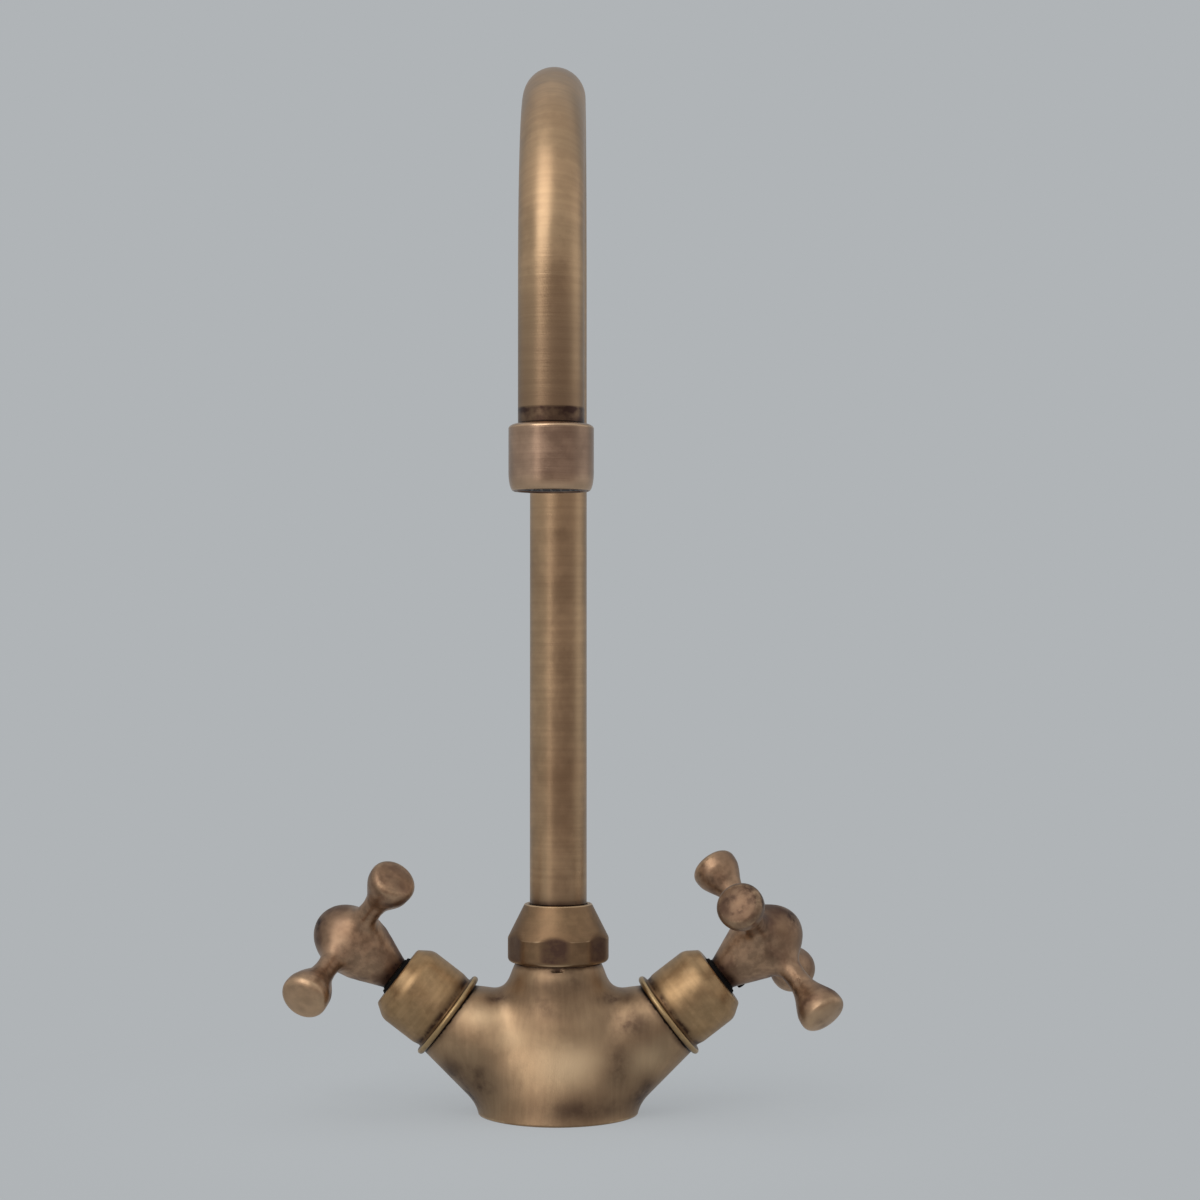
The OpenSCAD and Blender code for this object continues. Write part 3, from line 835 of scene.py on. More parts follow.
def swept_tube(w: Wiring, given: Sockets) -> Socket:
    """Sweeps a round section along the edges of the geometry.

    Args:
        w: Wiring of the tree.
        given: The tree's inputs.

    Returns:
        The tube.
    """
    line = w.node("GeometryNodeMeshToCurve", {0: given["Geometry"]})
    section = w.node("GeometryNodeCurvePrimitiveCircle", {"Resolution": given["Sides"],
                                                          "Radius": given["Radius"]})
    sweep = w.node("GeometryNodeCurveToMesh", {"Curve": line.outputs[0],
                                               "Profile Curve": section.outputs[0]})
    return w.node("GeometryNodeSetShadeSmooth", {"Geometry": sweep.outputs[0]}).outputs[0]


def crossed_bars(w: Wiring, given: Sockets) -> Socket:
    """Adds two crossed rows of bars to the geometry, cut to a round bore.

    Args:
        w: Wiring of the tree.
        given: The tree's inputs.

    Returns:
        The geometry with its bars.
    """
    pitch, height, radius = given["Pitch"], given["Height"], given["Radius"]
    half = w.times(w.math("SUBTRACT", given["Count"], 1), w.times(pitch, 0.5))
    row = w.node("GeometryNodeMeshLine", {
        "Count": given["Count"], "Offset": w.joined(0.0, pitch, 0.0),
        "Start Location": w.joined(0.0, w.times(half, -1.0), w.times(height, 0.5))}, mode="OFFSET")
    across = w.split(w.node("GeometryNodeInputPosition").outputs[0])[1]
    room = w.math("SUBTRACT", w.times(radius, radius), w.times(across, across))
    length = w.times(w.math("SQRT", w.math("MAXIMUM", room, 0.0)), 2.0)
    block = w.node("GeometryNodeMeshCube", {"Size": (1.0, 1.0, 1.0)})
    bars = w.node("GeometryNodeInstanceOnPoints", {
        "Points": row.outputs[0], "Instance": block.outputs[0],
        "Scale": w.joined(length, given["Bar"], height)}).outputs[0]
    quarter = (0.0, 0.0, math.pi / 2)
    turned = w.node("GeometryNodeTransform", {"Geometry": bars, "Rotation": quarter}).outputs[0]
    both = w.node("GeometryNodeJoinGeometry")
    for part in (turned, bars, given["Geometry"]):
        w.fill(both, {0: part})
    return both.outputs[0]


# Finishes


def patina(w: Wiring, given: Sockets) -> dict:
    """Blotches of tarnish: broad dark stains, warm stains, a soft cloud and flecks.

    Args:
        w: Wiring of the group.
        given: The group's inputs.

    Returns:
        The four masks.
    """
    place = given["Place"]
    broad = w.math("DIVIDE", 1.0, given["Stain size"])
    middling, small, tiny = w.times(broad, 1.4), w.times(broad, 4.0), 1400.0
    aside = w.vector("ADD", place, (3.1, 1.7, 5.3))
    dark = w.noise(place, broad, detail=3.0, rough=0.55, distortion=0.35)
    warm = w.noise(aside, middling, detail=2.5, rough=0.5, distortion=0.2)
    cloud = w.noise(place, small, detail=4.0, rough=0.6)
    fleck = w.noise(place, tiny, detail=2.0, rough=0.7)
    return {"Dark": w.ramp(dark, low=0.47, high=0.72), "Warm": w.ramp(warm, low=0.42, high=0.68),
            "Cloud": w.ramp(cloud, low=0.3, high=0.7), "Fleck": w.ramp(fleck, low=0.66, high=0.8)}


def brush_lines(w: Wiring, place: Socket) -> dict:
    """Heights of fine lines and broader streaks from a stretched place.

    Args:
        w: Wiring of the group.
        place: Where the pattern is read, in line widths.

    Returns:
        The height and the mask of the streaks.
    """
    fine_share, wide_share = 0.6, 0.4
    fine = w.noise(place, scale=1.0, detail=3.0, rough=0.65)
    wide = w.noise(place, scale=0.22, detail=2.0, rough=0.5)
    height = w.math("ADD", w.times(fine, fine_share), w.times(wide, wide_share))
    return {"Height": height, "Streak": w.ramp(wide, low=0.35, high=0.65)}


def straight_brushing(w: Wiring, given: Sockets) -> dict:
    """Fine brush lines along the third axis of the given place.

    Args:
        w: Wiring of the group.
        given: The group's inputs.

    Returns:
        The height and the mask of the streaks.
    """
    x, y, z = w.split(given["Place"])
    pitch = w.math("DIVIDE", 1.0, given["Line width"])
    run = w.math("DIVIDE", 1.0, given["Line length"])
    return brush_lines(w, w.joined(w.times(x, pitch), w.times(y, pitch), w.times(z, run)))


def turned_brushing(w: Wiring, given: Sockets) -> dict:
    """Fine lines that run round the third axis of the given place.

    Args:
        w: Wiring of the group.
        given: The group's inputs.

    Returns:
        The height and the mask of the streaks.
    """
    x, y, z = w.split(given["Place"])
    radius = w.math("SQRT", w.math("ADD", w.times(x, x), w.times(y, y)))
    pitch = w.math("DIVIDE", 1.0, given["Line width"])
    run = w.math("DIVIDE", 1.0, given["Line length"])
    outward = w.math("ADD", w.times(radius, pitch), w.times(x, run))
    return brush_lines(w, w.joined(outward, w.times(z, pitch), w.times(y, run)))


def edge_wear(w: Wiring, given: Sockets) -> dict:
    """Rubbed outer edges and grime in inner corners, both broken up.

    Args:
        w: Wiring of the group.
        given: The group's inputs.

    Returns:
        The two masks.
    """
    uneven = w.noise(given["Place"], scale=260.0, detail=3.0, rough=0.6)
    lift = w.times(w.math("SUBTRACT", uneven, 0.5), given["Unevenness"])
    bend = w.math("ADD", given["Edge"], lift)
    start = given["Wear start"]
    return {"Worn": w.ramp(bend, low=start, high=w.times(start, 2.5)),
            "Grime": w.ramp(w.times(bend, -1.0), low=0.08, high=0.45)}


class Effects:
    """The shader groups that several finishes share, built once."""

    def __init__(self) -> None:
        """Builds every group."""
        lines = {"Place": None, "Line width": 0.0004, "Line length": 0.01}
        wear = {"Place": None, "Edge": 0.0, "Wear start": 0.3, "Unevenness": 0.3}
        rows = ((patina, {"Place": None, "Stain size": 0.02}), (straight_brushing, lines),
                (turned_brushing, lines), (edge_wear, wear))
        self.groups = {build.__name__: shader_group(build.__name__, inputs, build)
                       for build, inputs in rows}

    def place(self, w: Wiring, name: str, **values: object) -> Sockets:
        """Puts a group into a material.

        Args:
            w: Wiring of the material.
            name: Name of the group.
            values: Socket names, with _ for a space, and their values.

        Returns:
            The group's outputs.
        """
        feeds = {label.replace("_", " "): value for label, value in values.items()}
        return w.node("ShaderNodeGroup", feeds, node_tree=self.groups[name]).outputs


class Brush(Enum):
    """Which way the brush lines of a surface run."""

    STRAIGHT = "straight_brushing"
    TURNED = "turned_brushing"


Colour = tuple


def srgb(red: int, green: int, blue: int) -> Colour:
    """Turns a screen colour into a linear one.

    Args:
        red: 0 to 255.
        green: 0 to 255.
        blue: 0 to 255.

    Returns:
        Linear red, green, blue and an alpha of 1.
    """
    shares = (level / 255 for level in (red, green, blue))
    linear = (s / 12.92 if s <= 0.04045 else ((s + 0.055) / 1.055) ** 2.4 for s in shares)
    return (*linear, 1.0)


def new_material(name: str) -> tuple:
    """Starts a material.

    Args:
        name: Its name.

    Returns:
        The material, its wiring and its Principled BSDF.
    """
    made = bpy.data.materials.new(name)
    made.use_nodes = True
    return made, Wiring(made.node_tree), made.node_tree.nodes["Principled BSDF"]


@dataclass(frozen=True)
class Brass:
    """A patinated brass finish.

    Attributes:
        name: Name of the material.
        metal: Main colour of the metal.
        dark: Colour of the tarnish.
        warm: Colour of the reddish stains.
        worn: Colour where edges are rubbed bright, also the colour of painted highlights.
        tarnish: Colour of the deep tarnish near joints, also used for painted shade at joints and
            in the stain spots.
        brush: Direction of the brush lines.
        roughness: Roughness of clean metal.
        stain_size: Size of the stains in metres.
        dark_share: Strength of the tarnish.
        warm_share: Strength of the reddish stains.
        line_width: Width of a brush line in metres.
        line_length: Length of a brush line in metres.
        line_depth: Depth of the brush lines in metres.
        wear_start: Bend per millimetre at which wear starts.
        contrast: How far the cloud lightens and darkens the metal.
        streak: Strength of the wide brush streaks.
        fleck: Strength of the small dark flecks.
        rubbed: Strength of the wear on edges.
        grime: Strength of the grime in corners.
        dark_rough: How much rougher the tarnish is.
        cloud_rough: How far the cloud changes the roughness.
        worn_shine: How much smoother worn edges are.
        gap_shadow: Colour of the painted shadow in the gap of a joint.
    """

    name: str
    metal: Colour
    dark: Colour
    warm: Colour
    worn: Colour
    tarnish: Colour
    brush: Brush = Brush.TURNED
    roughness: float = 0.36
    stain_size: float = 0.02
    dark_share: float = 0.6
    warm_share: float = 0.4
    line_width: float = 0.0004
    line_length: float = 0.012
    line_depth: float = 0.00012
    wear_start: float = 0.3
    contrast: float = 0.11
    streak: float = 0.14
    fleck: float = 0.3
    rubbed: float = 0.8
    grime: float = 0.75
    dark_rough: float = 0.12
    cloud_rough: float = 0.08
    worn_shine: float = 0.08
    gap_shadow: Colour = (0.012, 0.009, 0.008, 1.0)

    def material(self, effects: Effects) -> bpy.types.Material:
        """Builds the material.

        Args:
            effects: The shared shader groups.

        Returns:
            The material.
        """
        made, w, shader = new_material(self.name)
        made.diffuse_color = self.metal
        place = w.place()
        seam = w.attribute("seam")
        stains = effects.place(w, "patina", Place=place, Stain_size=self.stain_size)
        wear = effects.place(w, "edge_wear", Place=place, Edge=w.attribute("edge"),
                             Wear_start=self.wear_start)
        lines = effects.place(w, self.brush.value, Place=w.attribute("turned", "Vector"),
                              Line_width=self.line_width, Line_length=self.line_length)
        cloud, worn = stains["Cloud"], wear["Worn"]
        dark = w.times(stains["Dark"], self.dark_share)
        warm = w.times(stains["Warm"], self.warm_share)
        colour = w.layered(self.metal, (warm, self.warm), (dark, self.dark))
        tone = w.ramp(cloud, 0.0, 1.0, to_low=1 - self.contrast, to_high=1 + self.contrast)
        toned = w.node("ShaderNodeVectorMath", operation="SCALE")
        w.fill(toned, {0: colour, "Scale": tone})
        # Darkening toward the tarnish colour from a mesh attribute: real tarnish in some places,
        # painted shade in others.
        patchy = w.ramp(cloud, 0.0, 1.0, to_low=0.55, to_high=1.25)
        patchy = w.math("MULTIPLY", w.attribute("stain"), patchy, clamp=True)
        # Painted shade at joint lines, in the tarnish colour, ending in a painted black shadow in
        # the gap.
        soft_seam = w.times(w.ramp(seam, low=0.3, high=1.0),
                            w.ramp(cloud, 0.0, 1.0, to_low=0.3, to_high=0.8))
        # The painted highlights are laid in the worn colour.
        colour = w.layered(
            toned.outputs["Vector"], (w.times(lines["Streak"], self.streak), self.dark),
            (w.times(stains["Fleck"], self.fleck), self.dark), (w.attribute("polish"), self.worn),
            (patchy, self.tarnish), (w.times(worn, self.rubbed), self.worn),
            (w.times(wear["Grime"], self.grime), self.dark), (soft_seam, self.tarnish),
            (w.ramp(seam, low=0.84, high=0.97), self.gap_shadow))
        rough = w.math("ADD", self.roughness, w.times(dark, self.dark_rough))
        uneven = w.times(w.math("SUBTRACT", cloud, 0.5), self.cloud_rough)
        rough = w.math("SUBTRACT", w.math("ADD", rough, uneven), w.times(worn, self.worn_shine))
        normal = w.bump(lines["Height"], strength=0.5, distance=self.line_depth)
        w.fill(shader, {"Base Color": colour, "Metallic": 1.0, "Roughness": rough,
                        "Normal": normal})
        return made


@dataclass(frozen=True)
class Plain:
    """A finish with one colour, mottled a little by fine noise.

    Attributes:
        name: Name of the material.
        colour: Main colour.
        roughness: Mean roughness.
        metallic: 1 for metal, 0 for anything else.
        specular: Strength of the reflection of a finish that isn't metal.
        grain: Size of the mottling in metres.
        cloud: Size of the broader mottling in metres.
        contrast: How far the mottling darkens the colour.
        unevenness: How far the roughness strays.
    """

    name: str
    colour: Colour
    roughness: float
    metallic: float = 0.0
    specular: float = 0.5
    grain: float = 0.001
    cloud: float = 0.008
    contrast: float = 0.15
    unevenness: float = 0.06

    def material(self, effects: Effects) -> bpy.types.Material:
        """Builds the material.

        Args:
            effects: The shared shader groups.

        Returns:
            The material.
        """
        made, w, shader = new_material(self.name)
        made.diffuse_color = self.colour
        place = w.place()
        grain = w.noise(place, 1 / self.grain, detail=3.0, rough=0.6)
        cloud = effects.place(w, "patina", Place=place, Stain_size=self.cloud)["Cloud"]
        darker = (*(c * (1 - self.contrast) for c in self.colour[:3]), 1.0)
        rough = w.ramp(grain, 0.2, 0.8, to_low=self.roughness - self.unevenness,
                       to_high=self.roughness + self.unevenness)
        w.fill(shader, {
            "Base Color": w.layered(self.colour, (w.times(cloud, grain), darker)),
            "Metallic": self.metallic, "Roughness": rough, "Specular IOR Level": self.specular,
            "Normal": w.bump(grain, strength=0.2, distance=0.00005)})
        return made


class Finishes:
    """Every material of the mixer, built once and found by its slot or piece."""

    def __init__(self, effects: Effects) -> None:
        """Builds the materials.

        Args:
            effects: The shared shader groups.
        """
        antique = Brass("spout_brass", metal=srgb(175, 146, 114), dark=srgb(112, 85, 66),
                        warm=srgb(156, 121, 90), worn=srgb(208, 178, 142),
                        tarnish=srgb(66, 48, 42), stain_size=0.05, dark_share=0.25,
                        warm_share=0.3)
        bronzed = Brass("handle_bronze", metal=srgb(170, 139, 112), dark=srgb(96, 70, 58),
                        warm=srgb(152, 118, 90), worn=srgb(204, 172, 138),
                        tarnish=srgb(60, 43, 38), brush=Brush.STRAIGHT, roughness=0.42,
                        stain_size=0.012, contrast=0.2, dark_share=0.8, warm_share=0.4,
                        line_depth=0.00004, wear_start=0.18)
        looks = {
            # The body's worn colour is lighter because it also paints the body's highlights.
            "antique_brass": replace(
                antique, name="body_brass", worn=srgb(222, 192, 154), brush=Brush.STRAIGHT,
                roughness=0.42, stain_size=0.03, dark_share=0.3, line_width=0.00032,
                line_length=0.008),
            "spout": antique,
            "nut": replace(
                antique, name="nut_brass", metal=srgb(134, 108, 81), tarnish=srgb(94, 71, 60),
                roughness=0.48, stain_size=0.016, dark_share=0.3, warm_share=0.2),
            "olive_brass": Brass(
                "bonnet_brass", metal=srgb(174, 143, 106), dark=srgb(108, 82, 56),
                warm=srgb(156, 122, 82), worn=srgb(208, 180, 130), tarnish=srgb(74, 54, 42),
                roughness=0.43, stain_size=0.014, dark_share=0.4, warm_share=0.3,
                line_width=0.0003),
            "bronzed_brass": bronzed,
            "collar": Brass(
                "collar_bronze", metal=srgb(168, 140, 118), dark=bronzed.dark,
                warm=bronzed.warm, worn=bronzed.worn, tarnish=bronzed.tarnish,
                roughness=0.32, stain_size=0.03, dark_share=0.2, warm_share=0.15),
            "raw_brass": Plain("bare_brass", srgb(214, 178, 104), 0.3, metallic=1.0),
            "black_rubber": Plain("black_rubber", srgb(28, 28, 29), 0.65),
            # Near black with a weak reflection: the rubber ring, also standing for the shade in the
            # bonnet's mouth.
            "mouth_ring": Plain("mouth_rubber_shade", srgb(15, 13, 12), 0.8, specular=0.1),
            "white_nylon": Plain("white_nylon", srgb(222, 220, 210), 0.45),
            "ceramic_disc": Plain("ceramic", srgb(238, 236, 228), 0.15),
            "spring_steel": Plain("spring_steel", srgb(160, 160, 163), 0.3, metallic=1.0),
            "black_steel": Plain("black_steel", srgb(36, 35, 36), 0.4, metallic=1.0),
            "grey_plastic": Plain("grey_plastic", srgb(70, 72, 76), 0.45)}
        self.made = {use: look.material(effects) for use, look in looks.items()}

    def __getitem__(self, use: str) -> bpy.types.Material:
        """The material of a slot or a piece."""
        return self.made[use]


def dress_inner_nodes(finishes: Finishes) -> None:
    """Gives every CAD node its procedural finish by its slot.

    Args:
        finishes: The materials.
    """
    slots = {row["node"]: row["material_slot"] for row in frame["record"]["subparts"]}
    for name, node in frame["nodes"].items():
        dress(node, finishes[slots[name]])
    log.info("%d CAD nodes dressed", len(frame["nodes"]))


# The mixer, whose lengths are all in millimetres


@dataclass
class ValveBody:
    """The cast body: a round base, two raised arms and a neck.

    Attributes:
        holes: Place across and along, radius and depth of each bore in the underside.
        spots: Place across, height, two half sizes and strength of each dark spot, partly tarnish
            and partly painted shade.
        bright: The same for each painted highlight.
    """

    base_r: float = 25.0
    base_round: float = 0.5
    cone_low_r: float = 24.0
    column_top_r: float = 14.5
    saddle_z: float = 39.8
    web_r: float = 12.4
    web_x: float = 22.0
    web_drop: float = 0.8
    neck_r: float = 13.6
    shoulder_z: float = 47.5
    thread_r: float = 13.0
    thread_top_z: float = 58.0
    well_r: float = 10.0
    well_floor_z: float = 28.0
    arm_r: float = 13.35
    arm_taper: float = 0.133
    blend_reach: float = 6.0
    neck_flare: float = 2.2
    flare_h: float = 4.6
    saddle_rise: float = 0.6
    saddle_round: float = 3.0
    arm_spare: float = 3.0
    neck_spare: float = 2.0
    rays_round: int = 320
    rays_up: int = 150
    rays_crowd: float = 22.0
    rays_power: float = 1.35
    top_angle: float = 76.0
    foot_angles: tuple = (25, 50, 75, 90)
    longest_ray: float = 80.0
    halvings: int = 28
    bore_sides: int = 128
    hole_sides: int = 96
    cut_margin: float = 1.0
    cut_reach: float = 22.0
    socket_r: float = 10.45
    socket_len: float = 12.5
    chamber_r: float = 9.6
    chamber_len: float = 24.0
    seal_in_r: float = 19.4
    seal_out_r: float = 22.6
    seal_depth: float = 2.0
    drill_share: float = 0.78
    drill_more: float = 4.0
    slit_z: float = 46.55
    slit_w: float = 1.9
    slit_h: float = 0.4
    slit_depth: float = 0.6
    holes: tuple = ((-9.5, 0.0, 4.5, 10.0), (9.5, 0.0, 4.5, 10.0), (0.0, 13.5, 3.4, 14.0))
    # Dark spots: partly tarnish, partly painted shade where less light falls.
    spots: tuple = (
        (-18.0, 37.4, 5.2, 1.8, 0.85), (18.2, 37.8, 6.0, 2.0, 0.9), (0.0, 43.0, 13.0, 3.6, 0.45),
        (-3.0, 36.0, 11.0, 5.0, 0.6), (7.0, 44.5, 4.5, 3.0, 0.35), (18.5, 19.0, 5.0, 6.5, 0.55),
        (18.0, 13.5, 3.5, 3.5, 0.45), (22.0, 30.5, 9.0, 6.5, 0.7), (-27.5, 8.5, 6.0, 7.0, 1.0),
        (-34.0, 15.0, 5.0, 6.0, 0.6), (8.0, 5.0, 18.0, 4.4, 0.65), (27.5, 7.5, 4.0, 6.0, 0.85),
        (-23.0, 13.0, 6.0, 7.0, 0.5), (33.0, 24.0, 5.0, 4.0, 0.15))
    # Painted highlights on the front, repeated behind.
    bright: tuple = (
        (4.5, 19.0, 9.5, 7.0, 1.0), (-23.0, 32.5, 6.0, 3.0, 0.45), (-14.0, 26.0, 5.0, 4.0, 0.35),
        (9.0, 31.0, 3.0, 3.0, 0.2), (27.0, 20.0, 6.0, 5.0, 0.45))

    def gap(self, p: np.ndarray) -> np.ndarray:
        """How far points lie outside the casting.

        Args:
            p: One row of x, y, z for each point.

        Returns:
            One distance for each point, negative inside.
        """
        x, y, z = np.abs(p[:, 0]), p[:, 1], p[:, 2]
        rho = np.hypot(x, y)
        u, v = ARMS.axes(p)
        slope = (self.cone_low_r - self.column_top_r) / self.saddle_z
        cone = (rho - self.cone_low_r + slope * z) / math.hypot(1, slope)
        cone = -smooth_least(-cone, self.saddle_z - self.blend_reach - z, self.blend_reach)
        arm = np.hypot(v, y) - self.arm_r + self.arm_taper * u
        web_z = self.saddle_z - self.web_r - self.web_drop
        web = np.hypot(np.hypot(np.maximum(x - self.web_x, 0), y), z - web_z) - self.web_r
        lump = smooth_least(cone, arm, self.blend_reach)
        lump = smooth_least(lump, web, self.blend_reach)
        lump = -smooth_least(-lump, self.saddle_z + self.saddle_rise - z, self.saddle_round)
        flare = self.neck_flare * np.tanh(np.maximum(self.shoulder_z - z, 0) / self.flare_h)
        lump = smooth_least(lump, rho - self.neck_r - flare, self.blend_reach)
        lens = 1 - (x / self.slit_w) ** 2 - ((z - self.slit_z) / self.slit_h) ** 2
        sunk = lump + self.slit_depth * np.sqrt(np.maximum(lens, 0))
        lump = np.where((lens > 0) & (y < 0), sunk, lump)
        return np.maximum(np.maximum(lump, u - self.arm_spare),
                          z - self.shoulder_z - self.neck_spare)

    def casting(self) -> Skin:
        """Skin of the casting above its base, open at the bottom.

        Returns:
            The skin, from the base's rounded edge to the neck.
        """
        sides = self.rays_round
        evenly = 360 * np.arange(sides) / sides
        turn = np.radians(evenly - self.rays_crowd * np.sin(np.radians(2 * evenly)))
        low = math.degrees(math.atan2(self.base_round, self.base_r))
        share = 1 - (1 - np.arange(self.rays_up) / self.rays_up) ** self.rays_power
        rise = np.radians(low + (self.top_angle - low) * share)
        ray = np.stack([np.outer(np.cos(rise), np.cos(turn)), np.outer(np.cos(rise), np.sin(turn)),
                        np.outer(np.sin(rise), np.ones(sides))], axis=-1).reshape(-1, 3)
        near, off = np.zeros(len(ray)), np.full(len(ray), self.longest_ray)
        for _ in range(self.halvings):
            mid = (near + off) / 2
            within = self.gap(ray * mid[:, None]) < 0
            near, off = np.where(within, mid, near), np.where(within, off, mid)
        rings = list((ray * near[:, None]).reshape(self.rays_up, sides, 3))
        foot = rings[0]
        flat = np.linalg.norm(foot[:, :2], axis=1, keepdims=True)
        for angle in np.radians(self.foot_angles):
            ring = foot.copy()
            ring[:, :2] = foot[:, :2] * (flat - self.base_round * (1 - math.cos(angle))) / flat
            ring[:, 2] = self.base_round * (1 - math.sin(angle))
            rings.insert(0, ring)
        skin = stacked(rings)
        apex = len(skin.points)
        last = list(range(apex - sides, apex))
        skin.points = np.vstack([skin.points, [[0, 0, self.shoulder_z + self.neck_spare]]])
        skin.faces += [[a, b, apex] for a, b in zip(last, next_round(last))]
        return skin

    def machined(self) -> Skin:
        """Cuts the casting's faces and bores its sockets, neck and underside.

        Returns:
            The closed skin of the whole body.
        """
        work = bmesh.new()
        fill(work, self.casting())
        for side in Side:
            self.bore(work, ARMS.place(side), (
                (self.socket_r, 0.0), (self.socket_r, -self.socket_len),
                (self.chamber_r, -self.socket_len), (self.chamber_r, -self.chamber_len)))
        top = self.thread_top_z - self.shoulder_z
        floor = self.well_floor_z - self.shoulder_z
        self.bore(work, Matrix.Translation((0, 0, self.shoulder_z)), (
            (self.thread_r, 0.0), (self.thread_r, top), (self.well_r, top), (self.well_r, floor)))
        self.close_underside(work)
        return emptied(work)

    def bore(self, work: bmesh.types.BMesh, place: Matrix, profile: Sequence) -> None:
        """Cuts the casting with a plane and turns a bore or a sleeve into the cut.

        Args:
            work: The casting.
            place: Frame of the cut, whose third axis points outward.
            profile: Radius and height of each ring from the cut inward.
        """
        normal = place.to_3x3() @ Vector((0, 0, 1))
        centre = place.translation
        near = []
        for vert in work.verts:
            out = (vert.co - centre).dot(normal)
            across = ((vert.co - centre) - normal * out).length
            if out > -self.cut_margin and across < self.cut_reach:
                near.append(vert)
        around = [e for v in near for e in v.link_edges] + [f for v in near for f in v.link_faces]
        made = bmesh.ops.bisect_plane(work, geom=near + list(dict.fromkeys(around)), dist=WELD,
                                      plane_co=centre, plane_no=normal, clear_outer=True)
        rim = [e for e in made["geom_cut"] if isinstance(e, bmesh.types.BMEdge) and e.is_boundary]
        rings = [self.circle(work, place, radius, height, self.bore_sides)
                 for radius, height in profile]
        bmesh.ops.bridge_loops(work, edges=rim + self.ring_edges(work, rings[0]))
        self.walls(work, rings)
        work.faces.new(rings[-1])

    def close_underside(self, work: bmesh.types.BMesh) -> None:
        """Closes the base with its seal groove and its three bores.

        Args:
            work: The body, open at its base.
        """
        middle = Matrix.Identity(4)
        rim = [e for e in work.edges if e.is_boundary and abs(e.verts[0].co.z) < ON_PLANE]
        groove = [self.circle(work, middle, radius, height, self.hole_sides) for radius, height in (
            (self.seal_out_r, 0.0), (self.seal_out_r, self.seal_depth),
            (self.seal_in_r, self.seal_depth), (self.seal_in_r, 0.0))]
        bmesh.ops.bridge_loops(work, edges=rim + self.ring_edges(work, groove[0]))
        self.walls(work, groove)
        loops = self.ring_edges(work, groove[-1])
        for x, y, radius, depth in self.holes:
            drill = radius * self.drill_share
            place = Matrix.Translation((x, y, 0))
            rings = [self.circle(work, place, r, h, self.hole_sides) for r, h in (
                (radius, 0.0), (radius, depth), (drill, depth), (drill, depth + self.drill_more))]
            loops += self.ring_edges(work, rings[0])
            self.walls(work, rings)
            work.faces.new(rings[-1])
        bmesh.ops.triangle_fill(work, edges=loops, use_beauty=True, normal=(0, 0, -1))

    @staticmethod
    def circle(work: bmesh.types.BMesh, place: Matrix, radius: float, height: float,
               sides: int) -> list:
        """Adds a ring of points.

        Args:
            work: The mesh.
            place: Frame of the ring's axis.
            radius: Its radius.
            height: Its height along the axis.
            sides: Number of points.

        Returns:
            The new points in order.
        """
        return [work.verts.new(place @ Vector((radius * math.cos(t), radius * math.sin(t), height)))
                for t in circle_turns(sides)]

    @staticmethod
    def ring_edges(work: bmesh.types.BMesh, ring: list) -> list:
        """Edges round a ring of points, made where they are missing."""
        pairs = zip(ring, next_round(ring))
        return [work.edges.get(pair) or work.edges.new(pair) for pair in pairs]

    @staticmethod
    def walls(work: bmesh.types.BMesh, rings: list) -> None:
        """Joins rings of the same count by quads.

        Args:
            work: The mesh.
            rings: Points of each ring in order.
        """
        for a, b in zip(rings[:-1], rings[1:]):
            for quad in zip(a, next_round(a), next_round(b), b):
                work.faces.new(quad)

    def seams(self, p: np.ndarray) -> np.ndarray:
        """How close points lie to a joint line or to the slit under the nut, where shade is
        painted.

        Args:
            p: One row of x, y, z for each point.

        Returns:
            1 at a joint line and 0 far from it.
        """
        mouth_line, neck_soft, slit_soft, neck_zone = 0.3, 0.4, 0.5, 20
        u, _ = ARMS.axes(p)
        mouth = np.maximum(np.abs(u) - mouth_line, 0)
        neck = np.where(np.hypot(p[:, 0], p[:, 1]) < neck_zone,
                        np.abs(self.shoulder_z - p[:, 2]) + neck_soft, FAR)
        lens = np.hypot(p[:, 0] / self.slit_w, (p[:, 2] - self.slit_z) / self.slit_h) - 1
        slit = np.where(p[:, 1] < 0, np.maximum(lens * self.slit_h, 0) + slit_soft, FAR)
        return seam_mask(np.minimum(np.minimum(mouth, neck), slit))

    @staticmethod
    def spotted(p: np.ndarray, spots: tuple) -> np.ndarray:
        """Soft spots on the front that repeat turned round behind.

        Args:
            p: One row of x, y, z for each point.
            spots: Place across, height, two half sizes and strength of each spot.

        Returns:
            0 for none to 1 at the middle of a full spot.
        """
        turn_over = 5
        front = 0.5 - 0.5 * np.tanh(p[:, 1] / turn_over)
        clear = np.ones(len(p))
        for x, z, wide, high, strength in spots:
            near = front * bell(p[:, 0], x, wide) + (1 - front) * bell(p[:, 0], -x, wide)
            clear *= 1 - strength * near * bell(p[:, 2], z, high)
        return 1 - clear

    def build(self, finishes: Finishes) -> None:
        """Builds and dresses the body.

        Args:
            finishes: The materials.
        """
        piece = add_piece("cast_body", self.machined(), Matrix.Identity(4), sharp=40.0)
        place = points_of(piece.data)
        cast = np.abs(self.gap(place)) < 0.05
        foot = bell(place[:, 2], self.base_round, width=0.7)
        foot *= np.hypot(place[:, 0], place[:, 1]) > self.cone_low_r
        bend = np.where(cast, bend_of(self.gap, place), 0.0) + 0.5 * foot
        # The dark spots are partly tarnish and partly painted shade. The bright spots are painted
        # highlights.
        mark(piece.data, edge=bend, seam=self.seams(place), stain=self.spotted(place, self.spots),
             polish=self.spotted(place, self.bright))
        hand_over(piece, finishes["antique_brass"], "valve_body", "body")


